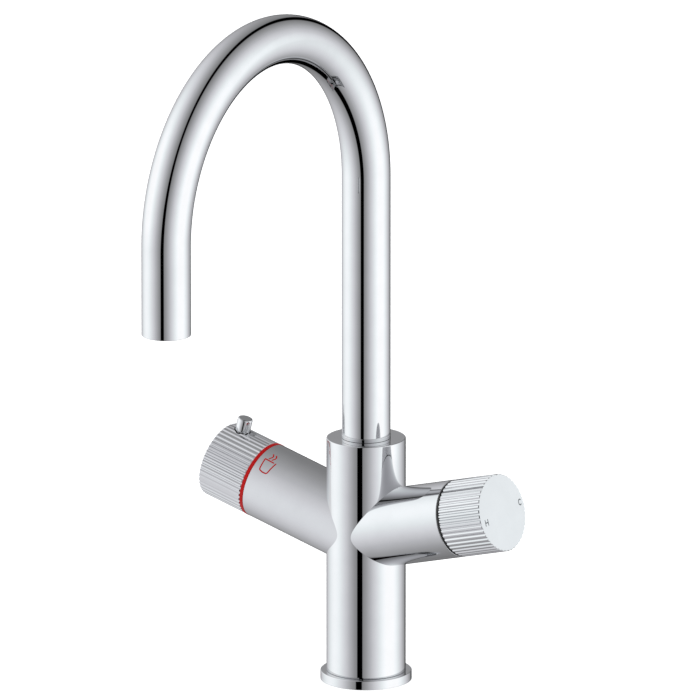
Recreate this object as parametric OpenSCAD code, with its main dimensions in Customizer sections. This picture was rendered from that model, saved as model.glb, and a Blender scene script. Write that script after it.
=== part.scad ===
// Boiling water tap: a straight column on a round base, a swivelling gooseneck spout,
// a mixer handle on one inclined arm and a boiling-water handle on the other.
// Millimetres, +Z up. The origin is the centre of the base's underside on the worktop.
// The spout points to -Y, the mixer arm to +X and the boiling arm to -X.

/* [Spout] */
// Outside diameter of the spout tube
tube_d = 28; // [26:0.5:30]
// Wall of the spout tube
tube_wall = 1.2; // [0.8:0.1:1.6]
// Distance from the column's axis to the outlet's axis
reach = 200; // [150:5:240]
// Height of the arch's centre above the worktop
arch_z = 301; // [280:1:340]
// Height of the outlet above the worktop
outlet_z = 250; // [220:1:270]
// Height of the collar at the foot of the spout
collar_h = 1.7; // [1:0.1:4]
// How far the collar stands out past the tube
collar_lip = 0.2; // [0.1:0.1:1]
// Diameter of the spout's shank inside the column
shank_d = 22; // [20:0.5:23]
// How far the spout swivels to each side
swivel_each_way = 75; // [30:5:85]

/* [Column and base] */
// Diameter of the column
column_d = 46; // [45:0.5:52]
// Height of the column's top above the worktop
column_top = 145; // [140:1:165]
// Diameter of the base flange
base_d = 53; // [52:1:64]
// Height of the base flange
base_h = 5.5; // [4:0.5:9]
// Chamfer on the column's top and foot
column_edge = 0.6; // [0.3:0.1:1.2]
// Chamfer on the base flange's top edge
base_edge = 0.5; // [0.3:0.1:1.5]
// Depth of the open recess for the hoses under the column
recess_h = 18; // [14:1:22]
// Wall of the column around that recess
recess_wall = 4; // [3.5:0.1:4.5]
// Depth of the spout's bore in the column
spout_bore_h = 42; // [40:1:44]

/* [Arms] */
// Height at which the arms' axes cross the column's axis
arm_z = 89; // [86:1:92]
// Upward slope of both arms
arm_tilt = 15; // [12:0.5:18]
// Diameter of the arms and their knobs
arm_d = 45; // [44.5:0.1:46]
// Length of the mixer arm from the column's axis
mixer_arm_len = 67.7; // [66:0.1:72]
// Length of the boiling arm from the column's axis
boiling_arm_len = 73; // [72:0.1:78]
// Width of the dark ring at the end of the mixer arm
mixer_ring_w = 1.1; // [0.8:0.1:2]
// Width of the red ring at the end of the boiling arm
boiling_ring_w = 2.2; // [1.5:0.1:3]
// Running gap between a ring and its knob
knob_gap = 0.3; // [0.2:0.05:0.6]

/* [Knobs] */
// Length of each knob
knob_len = 29.9; // [29:0.1:34]
// Wall of a knob under its flutes
knob_wall = 3.5; // [3:0.1:3.7]
// Thickness of a knob's end wall
knob_end_wall = 2.6; // [2:0.1:3]
// Number of flutes round a knob
flutes = 48; // [40:1:56]
// Depth of each flute
flute_depth = 0.7; // [0.3:0.05:0.9]
// Width of each flute's floor
flute_floor = 0.7; // [0.3:0.05:0.9]
// Steepness of a flute's flanks, in degrees
flute_flank = 50; // [45:1:70]
// Chamfer at both ends of a knob
knob_edge = 0.3; // [0.2:0.1:0.8]

/* [Child-lock button] */
// Diameter of the button
button_d = 8.8; // [8:0.1:9.4]
// Height of the button above the knob's surface
button_proud = 7.8; // [5:0.1:9]
// Travel of the button
button_travel = 2; // [1.5:0.1:2.2]
// Distance of the button's axis from the knob's end
button_inset = 9; // [8.5:0.1:9.5]
// Radius of the button's rounded top edge
button_round = 0.9; // [0.4:0.1:1.5]
// Gap between the button and the rim of its hole in the knob
button_gap = 0.6; // [0.3:0.1:0.8]
// Diameter of the button's stem
stem_d = 3.2; // [2.8:0.1:3.4]
// Diameter of the return spring's wire
spring_wire = 0.5; // [0.4:0.05:0.55]
// Number of curls of the return spring
spring_curls = 3; // [2.5:0.5:3]

/* [Valves] */
// Diameter of the mixer cartridge
cartridge_d = 35; // [34:0.1:35.4]
// Diameter of the boiling valve's body
valve_d = 23.8; // [22:0.1:25]
// Distance of the valve seats from the column's axis
seat_t = 30; // [29:0.1:31]
// Depth of the threaded mouth of the mixer arm
mixer_cup_h = 9.7; // [9:0.1:11]
// Depth of the wide mouth of the boiling arm
boiling_cup_h = 15; // [14:0.1:16]
// Diameter of the boiling valve's spindle
boiling_spindle_d = 8; // [7.6:0.1:8.2]
// Diameter of the mixer's spindle
mixer_spindle_d = 10; // [9:0.1:11]
// Number of teeth on a spindle's spline
spline_teeth = 20; // [16:1:24]
// Length of a spindle's spline
spline_len = 17; // [15:0.5:18]
// Thickness of a ceramic disc
disc_h = 3; // [2.5:0.1:3.2]

/* [Water connections] */
// Radius of the threaded hose ports
port_r = 4.5; // [4:0.1:4.7]
// Thickness of the hose connector block
block_h = 12; // [10:0.5:14]
// Distance from the hot and cold ports to the mixer arm's side
port_x = 9; // [8.5:0.1:9.5]
// Distance of the hot and cold ports from the middle plane
port_y = 8; // [7.8:0.1:8.4]
// Distance of the boiling port from the column's axis
boiling_port_x = 11; // [10.6:0.1:11.4]
// Radius of the holes for the fixing studs
stud_hole_r = 3.4; // [3:0.1:3.6]
// Distance between the fixing studs
stud_spacing = 26; // [25:0.5:27]
// Radius of the hot and cold waterways
way_r = 3; // [2.4:0.1:3.2]
// Radius of the boiling and mixed waterways
small_way_r = 2.5; // [2:0.1:2.6]
// Outside diameter of the boiling hose inside the spout
hose_d = 7; // [6.4:0.1:7.2]
// Bore of that hose
hose_bore = 4.8; // [4:0.1:5]

/* [Hidden] */
$fn = 64;

// which arm a piece lies on
mixer = 1;
boiling = -1;

// clearances
seat = 0.05;        // radial play of a piece seated in its own body
run = 0.06;         // radial play of a shaft in its bore
end_gap = 0.2;      // axial play at the end of a shaft, screw or hose
button_play = 0.1;  // radial play of the button in the knob's boss
disc_gap = 0.1;     // water film between two ceramic discs
over = 1;           // how far a cut runs past the face it opens

// radii
tube_r = tube_d / 2;
tube_bore_r = tube_r - tube_wall;
shank_r = shank_d / 2;
column_r = column_d / 2;
base_r = base_d / 2;
arm_r = arm_d / 2;
knob_bore_r = arm_r - knob_wall;
recess_r = column_r - recess_wall;
spigot_wall = 1.5;
spigot_r = recess_r + spigot_wall;
cartridge_r = cartridge_d / 2;
valve_r = valve_d / 2;
button_r = button_d / 2;
stem_r = stem_d / 2;
hose_r = hose_d / 2;
boiling_spindle_r = boiling_spindle_d / 2;
mixer_spindle_r = mixer_spindle_d / 2;

// spout and its bearing in the column
bush_flange_h = 0.35;
bush_h = 5.5;
bush_wall = 1.5;
collar_r = tube_r + collar_lip;
collar_z = column_top + bush_flange_h + seat;
skirt_w = 0.25;
skirt_z = column_top + 0.12;
tube_z = collar_z + collar_h;
bore_floor_z = column_top - spout_bore_h;
bore_r = shank_r + bush_wall;
shank_gap = 0.4;
shank_z = bore_floor_z + shank_gap;
shank_wall = 3;
shank_bore_r = shank_r - shank_wall;
chamber_h = 7;
chamber_r = 9;
chamber_z = bore_floor_z - chamber_h;
socket_h = 3;
socket_z = chamber_z - socket_h;
ring_section_r = 0.9;
ring_inset = 12;
ring_z = [bore_floor_z + ring_inset, column_top - ring_inset];
ring_groove_half = ring_section_r + seat;
stop_z = (ring_z[0] + ring_z[1]) / 2;
stop_h = 4;
stop_depth = 1.4;
stop_floor_r = shank_r - stop_depth;
dog_r = 1.5;
dog_gap = 0.3;
retaining_screw_r = 2.5;
retaining_screw_inset = 1.5;
hex_depth = 3;
stop_play = 1.5;
stop_half = swivel_each_way + asin(dog_r / stop_floor_r) + stop_play;

// base
foot_gap = 0.5;
gasket_h = 1.5;
gasket_inset = 1.5;
gasket_r0 = spigot_r + gasket_inset;
gasket_r1 = base_r - gasket_inset;
block_z = recess_h;
ways_z = block_z + block_h;

// arms: t runs along an arm from the column's axis
function arm_len(side) = side == mixer ? mixer_arm_len : boiling_arm_len;
function ring_w(side) = side == mixer ? mixer_ring_w : boiling_ring_w;
function cup_h(side) = side == mixer ? mixer_cup_h : boiling_cup_h;
function shoulder_t(side) = arm_len(side) - cup_h(side);
function knob_t(side) = arm_len(side) + ring_w(side) + knob_gap;
function knob_end_t(side) = knob_t(side) + knob_len;
function spindle_r(side) = side == mixer ? mixer_spindle_r : boiling_spindle_r;
neck_h = 8;
hub_gap = 0.5;
function neck_t(side) = shoulder_t(side) + neck_h;
function hub_t(side) = neck_t(side) + hub_gap;
function spline_t(side) = hub_t(side) + spline_len;
button_t = knob_end_t(boiling) - button_inset;
ring_lip = 0.4;
ring_spigot_h = 2.7;
ring_wall = 1.2;

// spline, hub and its screws
spline_step = 0.1;
spline_r = boiling_spindle_r - spline_step;
spline_depth = 0.35;
hub_r = 6.6;
hub_narrow_r = 5.2;
hub_screw_head_r = 3.5;
hub_screw_head_h = 2.4;
hub_screw_r = 2;
hub_screw_hex_r = 1.7;
hub_screw_len = 14;
hub_web = 2;
hub_flange_h = 3.4;
hub_boss_r = 3.2;
hub_boss_x = 11;
grub_r = 1.5;
grub_len = 6;
grub_step = 0.6;
function flange_t(side) = knob_end_t(side) - knob_end_wall - hub_flange_h;
function grub_t(side) = flange_t(side) - grub_step;

// child lock, as distances from the boiling arm's axis
sleeve_r0 = 7.2;
sleeve_r1 = 8.7;
stem_tip_x = 7.6;
circlip_h = 0.6;
circlip_r = 2.8;
circlip_groove = 0.3;
circlip_gap = 0.4;
circlip_x = sleeve_r1 + button_travel + circlip_gap;
guide_gap = 0.1;
guide_x = circlip_x + circlip_h + guide_gap;
guide_flange_h = 1.8;
guide_spigot_h = 1.4;
guide_wall = 1.8;
spring_seat_x = guide_x + guide_flange_h + guide_spigot_h;
spring_len = 4.3;
button_foot_x = spring_seat_x + spring_len;
button_top_x = arm_r + button_proud;
button_boss_r = button_r + guide_wall;
slot_play = 0.15;
slot_half = stem_r + slot_play;
slot_end_play = 0.5;
slot_end = asin(slot_half / sleeve_r0) + slot_end_play;
sleeve_flange_h = 2;
sleeve_end_h = 0.75;
boiling_turn = 90;

// valves
seal_h = 1.2;
disc_ways_x = 7;
valve_flange_h = 4;
valve_hex_inset = 2;
valve_wall = 1.95;
valve_chamber_r = valve_r - valve_wall;
mixer_way_x = 7;
cartridge_base_h = 4;
cartridge_wall = 3.3;
neck_wall = 5;
notch = [4, 3, 2];
drive_r = 1.2;
drive_h = 1.2;
flange_h = 3;

// outlet
aerator_h = 12;
aerator_lip = 0.4;
aerator_lip_w = 3.2;
aerator_wall = 1.8;
insert_h = 9.4;
insert_gap = 0.6;
nozzle_r = 5;
nozzle_bore_r = 1.6;
nozzle_spigot_h = 8;
nozzle_top_z = outlet_z + insert_gap + insert_h + insert_gap;
jet_r = 1;
jets = 14;

chrome_colour = [0.80, 0.81, 0.83];
brass_colour = [0.80, 0.66, 0.36];
steel_colour = [0.62, 0.63, 0.65];
ceramic_colour = [0.93, 0.92, 0.88];
rubber_colour = [0.12, 0.12, 0.13];
black_colour = [0.07, 0.07, 0.08];
red_colour = [0.78, 0.10, 0.12];
plastic_colour = [0.86, 0.87, 0.88];
silicone_colour = [0.90, 0.91, 0.89];

// Places its children on an arm: their +z runs outwards along it. Their +x points up
// on the boiling arm and down on the mixer arm.
module on_arm(side) {
    translate([0, 0, arm_z])
        rotate([0, side * (90 - arm_tilt), 0])
            children();
}

// Places its children at a distance t along an arm
module at_t(side, t) {
    on_arm(side)
        translate([0, 0, t])
            children();
}

// Places its children at the button: their +z runs outwards from the boiling arm's axis
module at_button() {
    at_t(boiling, button_t)
        rotate([0, 90, 0])
            children();
}

// A ring or tube of two radii
module tube(r0, r1, h) {
    difference() {
        cylinder(r = r1, h = h);
        translate([0, 0, -over])
            cylinder(r = r0, h = h + 2 * over);
    }
}

// A solid cylinder with chamfers at its foot and top
module chamfered(r, h, foot, top) {
    rotate_extrude()
        polygon([[0, 0], [r - foot, 0], [r, foot], [r, h - top], [r - top, h], [0, h]]);
}

// A round O-ring of section radius s around a circle of radius r
module o_ring(r, s) {
    rotate_extrude()
        translate([r, 0])
            circle(r = s, $fn = 24);
}

// The toothed outline of a spindle's spline, grown by a clearance
module spline_outline(grow) {
    polygon([
        for (i = [0 : 2 * spline_teeth - 1])
            let (r = spline_r + grow - (i % 2) * spline_depth, a = i * 180 / spline_teeth)
                [r * cos(a), r * sin(a)]
    ]);
}

// Column, arms and waterways

// Puts its children at each hose port: hot, cold and boiling
module at_ports() {
    for (p = [[port_x, port_y], [port_x, -port_y], [-boiling_port_x, 0]])
        translate(p)
            children();
}

module at_studs() {
    for (s = [-1, 1])
        translate([0, s * stud_spacing / 2])
            children();
}

// Hot and cold water up to the mixer's seat, and mixed water back to the spout
module mixer_waterways() {
    for (s = [-1, 1]) {
        translate([port_x, s * port_y, ways_z - over])
            cylinder(r = way_r, h = arm_z + port_x * tan(arm_tilt) - ways_z + over);
        on_arm(mixer)
            translate([0, s * port_y, port_x])
                cylinder(r = way_r, h = seat_t - port_x + over);
    }
    on_arm(mixer)
        translate([-mixer_way_x, 0, mixer_way_x + over])
            cylinder(r = small_way_r, h = seat_t - mixer_way_x);
}

// Boiling water up to the valve's seat, and back to the hose's socket
module boiling_waterways() {
    rise_top_z = arm_z - disc_ways_x + boiling_port_x * tan(arm_tilt);
    translate([-boiling_port_x, 0, ways_z - over])
        cylinder(r = small_way_r, h = rise_top_z - ways_z + over);
    on_arm(boiling)
        translate([-disc_ways_x, 0, boiling_port_x - small_way_r])
            cylinder(r = small_way_r, h = seat_t - boiling_port_x + small_way_r + over);
    on_arm(boiling)
        cylinder(r = small_way_r, h = seat_t + over);
    translate([0, 0, arm_z])
        cylinder(r = small_way_r, h = socket_z - arm_z + over);
    translate([0, 0, socket_z])
        cylinder(r = hose_r + run, h = socket_h + over);
}

module arm_cavities() {
    at_t(mixer, seat_t)
        cylinder(r = cartridge_r + seat, h = mixer_arm_len);
    at_t(mixer, shoulder_t(mixer))
        cylinder(r = knob_bore_r, h = mixer_arm_len);
    at_t(boiling, seat_t)
        cylinder(r = valve_r + seat, h = boiling_arm_len);
    at_t(boiling, shoulder_t(boiling))
        cylinder(r = knob_bore_r, h = boiling_arm_len);
}

module tap_body() {
    color(chrome_colour)
        difference() {
            union() {
                translate([0, 0, base_h])
                    chamfered(column_r, column_top - base_h, column_edge / 2, column_edge);
                translate([0, 0, foot_gap])
                    cylinder(r = spigot_r, h = base_h);
                for (side = [mixer, boiling])
                    on_arm(side)
                        cylinder(r = arm_r, h = arm_len(side));
            }
            translate([0, 0, -over])
                cylinder(r = recess_r, h = ways_z + over);
            translate([0, 0, bore_floor_z])
                cylinder(r = bore_r, h = spout_bore_h + over);
            translate([0, 0, chamber_z])
                cylinder(r = chamber_r, h = chamber_h + over);
            arm_cavities();
            mixer_waterways();
            boiling_waterways();
            translate([0, 0, ways_z - over])
                at_studs()
                    cylinder(r = stud_hole_r, h = block_h + over);
            translate([0, bore_r - over, stop_z])
                rotate([-90, 0, 0])
                    cylinder(r = retaining_screw_r + seat, h = column_r);
        }
}

module base_flange() {
    color(chrome_colour)
        difference() {
            chamfered(base_r, base_h, base_edge / 2, base_edge);
            translate([0, 0, -over])
                cylinder(r = spigot_r + seat, h = base_h + 2 * over);
            translate([0, 0, -over])
                tube(gasket_r0, gasket_r1, gasket_h + over);
        }
}

module base_gasket() {
    color(rubber_colour)
        tube(gasket_r0 + seat, gasket_r1 - seat, gasket_h);
}

// Block that the three hoses screw into
module hose_connector_block() {
    groove_h = 2 * ring_section_r;
    color(brass_colour)
        translate([0, 0, block_z])
            difference() {
                cylinder(r = recess_r - seat, h = block_h);
                translate([0, 0, -over])
                    at_ports()
                        cylinder(r = port_r, h = block_h + 2 * over);
                translate([0, 0, -over])
                    at_studs()
                        cylinder(r = stud_hole_r, h = block_h + 2 * over);
                translate([0, 0, block_h - groove_h])
                    at_ports()
                        cylinder(r = port_r + groove_h + 2 * seat, h = groove_h + over);
            }
}

module connector_o_rings() {
    color(rubber_colour)
        translate([0, 0, ways_z - ring_section_r])
            at_ports()
                o_ring(port_r + ring_section_r + 1.5 * seat, ring_section_r - seat / 2);
}

// Spout bearing

module upper_spout_bush() {
    color(black_colour)
        translate([0, 0, column_top])
            difference() {
                union() {
                    cylinder(r = collar_r - ring_lip, h = bush_flange_h);
                    translate([0, 0, -bush_h])
                        cylinder(r = bore_r - seat, h = bush_h + bush_flange_h);
                }
                translate([0, 0, -bush_h - over])
                    cylinder(r = shank_r + run, h = bush_h + bush_flange_h + 2 * over);
            }
}

module lower_spout_bush() {
    color(black_colour)
        translate([0, 0, bore_floor_z])
            tube(shank_r + run, bore_r - seat, bush_h);
}

// Hexagon socket of a set screw
module hex_socket(r, h) {
    translate([0, 0, -h])
        cylinder(r = r, h = h + over, $fn = 6);
}

// Dog-point screw. Its tip runs in the shank's groove, which keeps the spout in and stops
// its swivel.
module spout_retaining_screw() {
    tip_y = stop_floor_r + dog_gap;
    thread_y = bore_r + end_gap;
    head_y = column_r - retaining_screw_inset;
    color(steel_colour)
        translate([0, 0, stop_z])
            rotate([-90, 0, 0])
                difference() {
                    union() {
                        translate([0, 0, tip_y])
                            cylinder(r = dog_r, h = head_y - tip_y);
                        translate([0, 0, thread_y])
                            cylinder(r = retaining_screw_r, h = head_y - thread_y);
                    }
                    translate([0, 0, head_y])
                        hex_socket(dog_r, hex_depth);
                }
}

// Spout

// Collar with a skirt that hides the bush, a spigot in the tube and a shank in the column
module spout_foot() {
    color(chrome_colour)
        difference() {
            union() {
                translate([0, 0, collar_z])
                    chamfered(collar_r, collar_h, 0, collar_lip / 2);
                translate([0, 0, skirt_z])
                    tube(collar_r - skirt_w, collar_r, collar_z - skirt_z + over / 2);
                translate([0, 0, tube_z])
                    cylinder(r = tube_bore_r - seat, h = tube_r);
                translate([0, 0, shank_z])
                    cylinder(r = shank_r, h = tube_z - shank_z);
            }
            translate([0, 0, shank_z - over])
                cylinder(r = shank_bore_r, h = tube_z + tube_r);
            for (z = ring_z)
                translate([0, 0, z - ring_groove_half])
                    tube(bore_r - 2 * ring_groove_half, shank_r + over, 2 * ring_groove_half);
            translate([0, 0, stop_z - stop_h / 2])
                rotate([0, 0, 90 - stop_half])
                    rotate_extrude(angle = 2 * stop_half)
                        translate([stop_floor_r, 0])
                            square([shank_r - stop_floor_r + over, stop_h]);
        }
}

// Arch in the Y-Z plane from the column's axis over to the outlet's axis
module arch(r0, r1) {
    translate([0, -reach / 2, arch_z])
        rotate([90, 0, 90])
            rotate_extrude(angle = 180)
                translate([reach / 2, 0])
                    difference() {
                        circle(r = r1);
                        circle(r = r0);
                    }
}

// A tube up from z0, over the arch and down to z1
module gooseneck(r0, r1, z0, z1) {
    union() {
        translate([0, 0, z0])
            tube(r0, r1, arch_z - z0);
        arch(r0, r1);
        translate([0, -reach, z1])
            tube(r0, r1, arch_z - z1);
    }
}

module spout_tube() {
    color(chrome_colour)
        gooseneck(tube_bore_r, tube_r, tube_z, outlet_z);
}

module spout_o_rings() {
    color(rubber_colour)
        for (z = ring_z)
            translate([0, 0, z])
                o_ring(bore_r - ring_section_r - seat, ring_section_r);
}

// Hose that carries the boiling water inside the spout
module boiling_hose() {
    color(silicone_colour)
        gooseneck(hose_bore / 2, hose_r, socket_z + end_gap, nozzle_top_z);
}

// Outlet

module aerator_housing() {
    lip_r = tube_bore_r - aerator_lip_w;
    ring_r = tube_bore_r - aerator_wall;
    color(chrome_colour)
        translate([0, -reach, outlet_z + aerator_lip])
            difference() {
                cylinder(r = tube_bore_r - seat, h = aerator_h);
                translate([0, 0, -over])
                    cylinder(r = ring_r, h = insert_h + insert_gap + over);
                cylinder(r = lip_r, h = aerator_h + over);
            }
}

module aerator_insert() {
    insert_r = tube_bore_r - aerator_wall - seat;
    jet_ring_r = (insert_r + nozzle_r) / 2;
    color(plastic_colour)
        translate([0, -reach, outlet_z + aerator_lip + insert_gap])
            difference() {
                cylinder(r = insert_r, h = insert_h);
                translate([0, 0, -over])
                    cylinder(r = nozzle_r + seat, h = insert_h + 2 * over);
                for (i = [0 : jets - 1])
                    rotate([0, 0, i * 360 / jets])
                        translate([jet_ring_r, 0, -over])
                            cylinder(r = jet_r, h = insert_h + 2 * over, $fn = 16);
            }
}

module boiling_nozzle() {
    foot_z = outlet_z + insert_gap;
    color(chrome_colour)
        translate([0, -reach, 0])
            difference() {
                union() {
                    translate([0, 0, foot_z])
                        chamfered(nozzle_r, nozzle_top_z - foot_z, ring_lip, 0);
                    translate([0, 0, nozzle_top_z])
                        cylinder(r = hose_bore / 2 - seat, h = nozzle_spigot_h);
                }
                translate([0, 0, foot_z - over])
                    cylinder(r = nozzle_bore_r, h = nozzle_spigot_h + nozzle_top_z);
            }
}

// Pieces that both arms have

// Ring between an arm's end and its knob, with a spigot in the arm's mouth
module end_ring(side, lip) {
    at_t(side, arm_len(side))
        difference() {
            union() {
                cylinder(r = arm_r - lip, h = ring_w(side));
                translate([0, 0, -ring_spigot_h])
                    cylinder(r = knob_bore_r - seat, h = ring_spigot_h + ring_w(side));
            }
            translate([0, 0, -ring_spigot_h - over])
                cylinder(r = knob_bore_r - ring_wall, h = ring_spigot_h + ring_w(side) + 2 * over);
        }
}

// Outline of a fluted knob seen from its end: each flute has two flanks and a flat floor
module fluted_outline() {
    floor_a = flute_floor / 2 / arm_r * 180 / PI;
    mouth_a = floor_a + flute_depth / tan(flute_flank) / arm_r * 180 / PI;
    floor_r = arm_r - flute_depth;
    polygon([
        for (i = [0 : flutes - 1])
            for (corner = [[-mouth_a, arm_r], [-floor_a, floor_r], [floor_a, floor_r], [mouth_a, arm_r]])
                let (a = i * 360 / flutes + corner[0])
                    [corner[1] * cos(a), corner[1] * sin(a)]
    ]);
}

// Hollow fluted shell with a flat end wall, and a hole for the grub screw
module knob_shell(side) {
    at_t(side, knob_t(side))
        difference() {
            intersection() {
                linear_extrude(height = knob_len)
                    fluted_outline();
                chamfered(arm_r, knob_len, knob_edge, knob_edge);
            }
            translate([0, 0, -over])
                cylinder(r = knob_bore_r, h = knob_len - knob_end_wall + over);
            translate([0, 0, grub_t(side) - knob_t(side)])
                rotate([0, grub_way(side) * 90, 0])
                    cylinder(r = grub_r + seat, h = arm_r + over);
        }
}

// The grub screws face down, which is +x on the mixer arm and -x on the boiling arm
function grub_way(side) = side == mixer ? 1 : -1;

// Hub that joins a spindle's spline to its knob
module hub(side) {
    web_t = spline_t(side);
    rim_t = knob_end_t(side) - knob_end_wall;
    difference() {
        on_arm(side) {
            translate([0, 0, hub_t(side)])
                cylinder(r = hub_r, h = spline_len + hub_web + over);
            translate([0, 0, web_t])
                cylinder(r = hub_narrow_r, h = rim_t - web_t);
            translate([0, 0, flange_t(side)])
                cylinder(r = knob_bore_r - seat, h = hub_flange_h);
            intersection() {
                translate([0, 0, grub_t(side)])
                    rotate([0, grub_way(side) * 90, 0])
                        translate([0, 0, hub_boss_x])
                            cylinder(r = hub_boss_r, h = knob_bore_r);
                translate([0, 0, hub_t(side)])
                    cylinder(r = knob_bore_r - seat, h = rim_t - hub_t(side));
            }
        }
        on_arm(side) {
            translate([0, 0, hub_t(side) - over])
                linear_extrude(height = spline_len + over)
                    spline_outline(seat);
            translate([0, 0, hub_t(side)])
                cylinder(r = hub_screw_r + seat, h = rim_t);
            translate([0, 0, web_t + hub_web])
                cylinder(r = hub_screw_head_r + seat, h = rim_t);
            translate([0, 0, grub_t(side)])
                rotate([0, grub_way(side) * 90, 0])
                    translate([0, 0, hub_boss_x + over])
                        cylinder(r = grub_r + seat, h = knob_bore_r);
        }
    }
}

module hub_screw(side) {
    color(steel_colour)
        at_t(side, spline_t(side) + hub_web)
            difference() {
                union() {
                    cylinder(r = hub_screw_head_r, h = hub_screw_head_h);
                    translate([0, 0, -hub_screw_len])
                        cylinder(r = hub_screw_r, h = hub_screw_len + over);
                }
                translate([0, 0, hub_screw_head_h])
                    hex_socket(hub_screw_hex_r, hub_screw_head_h / 2);
            }
}

module grub_screw(side) {
    color(steel_colour)
        at_t(side, grub_t(side))
            rotate([0, grub_way(side) * 90, 0])
                translate([0, 0, arm_r - flute_depth - over])
                    difference() {
                        translate([0, 0, -grub_len])
                            cylinder(r = grub_r, h = grub_len);
                        hex_socket(grub_r / 2, grub_len / 2);
                    }
}

// Shaft with a drive flange at its inner end and a spline at its outer end
module spindle(side, flange_r, foot_t, drive_x) {
    color(brass_colour)
        difference() {
            on_arm(side) {
                translate([0, 0, foot_t])
                    cylinder(r = flange_r, h = flange_h);
                translate([0, 0, foot_t])
                    cylinder(r = spindle_r(side), h = hub_t(side) - end_gap - foot_t);
                translate([0, 0, hub_t(side) - over])
                    linear_extrude(height = spline_len + over - end_gap)
                        spline_outline(0);
                for (s = [-1, 1])
                    translate([drive_x, s * drive_x, foot_t - drive_h])
                        cylinder(r = drive_r, h = drive_h + over);
            }
            at_t(side, spline_t(side) + hub_web - hub_screw_len - over)
                cylinder(r = hub_screw_r + seat, h = hub_screw_len + over);
        }
}

// Ceramic disc that a spindle turns. A channel under it, from x0 to x1, joins two ways.
module moving_disc(side, r, foot_t, drive_x, x0, x1, channel_way) {
    channel_h = disc_h / 2;
    color(ceramic_colour)
        at_t(side, foot_t)
            difference() {
                cylinder(r = r, h = disc_h);
                rotate([0, 0, channel_way])
                    translate([x0, 0, -over]) {
                        cylinder(r = small_way_r, h = channel_h + over);
                        translate([0, -small_way_r, 0])
                            cube([x1 - x0, 2 * small_way_r, channel_h + over]);
                        translate([x1 - x0, 0, 0])
                            cylinder(r = small_way_r, h = channel_h + over);
                    }
                for (s = [-1, 1])
                    translate([drive_x, s * drive_x, disc_h - drive_h - seat])
                        cylinder(r = drive_r + seat, h = drive_h + over);
            }
}

// Mixer valve

mixer_base_t = seat_t + seal_h;
mixer_disc_t = mixer_base_t + cartridge_base_h;
mixer_moving_t = mixer_disc_t + disc_h + disc_gap;
mixer_flange_t = mixer_moving_t + disc_h;
mixer_disc_r = cartridge_r - cartridge_wall - seat;
mixer_drive_x = 5.5;

module mixer_ways(h) {
    for (p = [[0, port_y], [0, -port_y], [-mixer_way_x, 0]])
        translate([p[0], p[1], -over])
            cylinder(r = small_way_r, h = h + 2 * over);
}

module mixer_glide_ring() {
    color(black_colour)
        end_ring(mixer, ring_lip);
}

module mixer_port_seal() {
    color(rubber_colour)
        at_t(mixer, seat_t)
            difference() {
                cylinder(r = cartridge_r - seat, h = seal_h);
                mixer_ways(seal_h);
            }
}

module mixer_cartridge_base() {
    color(plastic_colour)
        at_t(mixer, mixer_base_t)
            difference() {
                cylinder(r = cartridge_r, h = cartridge_base_h);
                mixer_ways(cartridge_base_h);
            }
}

module mixer_fixed_disc() {
    color(ceramic_colour)
        at_t(mixer, mixer_disc_t)
            difference() {
                cylinder(r = mixer_disc_r, h = disc_h);
                mixer_ways(disc_h);
            }
}

module mixer_moving_disc() {
    moving_disc(mixer, mixer_disc_r - seat, mixer_moving_t, mixer_drive_x, -mixer_way_x, port_y, 180);
}

module mixer_cartridge_housing() {
    chamber_end_t = mixer_flange_t + flange_h + disc_gap;
    color(plastic_colour)
        difference() {
            on_arm(mixer) {
                translate([0, 0, mixer_disc_t])
                    cylinder(r = cartridge_r, h = shoulder_t(mixer) - mixer_disc_t);
                translate([0, 0, mixer_disc_t])
                    cylinder(r = mixer_spindle_r + neck_wall, h = neck_t(mixer) - mixer_disc_t);
            }
            on_arm(mixer) {
                translate([0, 0, mixer_disc_t - over])
                    cylinder(r = cartridge_r - cartridge_wall, h = chamber_end_t - mixer_disc_t + over);
                translate([0, 0, mixer_disc_t])
                    cylinder(r = mixer_spindle_r + run, h = mixer_arm_len);
            }
        }
}

// Ring nut that clamps the mixer cartridge, with four notches for its key
module mixer_cartridge_nut() {
    nut_h = mixer_cup_h - ring_spigot_h - over;
    color(brass_colour)
        at_t(mixer, shoulder_t(mixer))
            difference() {
                tube(mixer_spindle_r + neck_wall + 2 * seat, knob_bore_r - seat, nut_h);
                for (i = [0 : 3])
                    rotate([0, 0, i * 90 + 45])
                        translate([knob_bore_r + over - notch[0], -notch[1] / 2, nut_h - notch[2]])
                            cube([notch[0], notch[1], notch[2] + over]);
            }
}

module mixer_spindle() {
    spindle(mixer, mixer_disc_r - seat, mixer_flange_t, mixer_drive_x);
}

module mixer_hub() {
    color(plastic_colour)
        hub(mixer);
}

module mixer_hub_screw() {
    hub_screw(mixer);
}

module mixer_grub_screw() {
    grub_screw(mixer);
}

module mixer_knob() {
    color(chrome_colour)
        knob_shell(mixer);
}

// Boiling valve

boiling_disc_t = seat_t + seal_h;
boiling_moving_t = boiling_disc_t + disc_h + disc_gap;
boiling_flange_t = boiling_moving_t + disc_h;
boiling_disc_r = valve_chamber_r - seat;
boiling_drive_x = 5;

module boiling_ways(h) {
    for (x = [0, -disc_ways_x])
        translate([x, 0, -over])
            cylinder(r = small_way_r, h = h + 2 * over);
}

module boiling_ring() {
    color(red_colour)
        end_ring(boiling, 0);
}

module boiling_port_seal() {
    color(rubber_colour)
        at_t(boiling, seat_t)
            difference() {
                cylinder(r = valve_r - seat, h = seal_h);
                boiling_ways(seal_h);
            }
}

module boiling_fixed_disc() {
    color(ceramic_colour)
        at_t(boiling, boiling_disc_t)
            difference() {
                cylinder(r = boiling_disc_r, h = disc_h);
                boiling_ways(disc_h);
            }
}

module boiling_moving_disc() {
    moving_disc(boiling, boiling_disc_r - seat, boiling_moving_t, boiling_drive_x, 0, disc_ways_x, -90);
}

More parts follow.
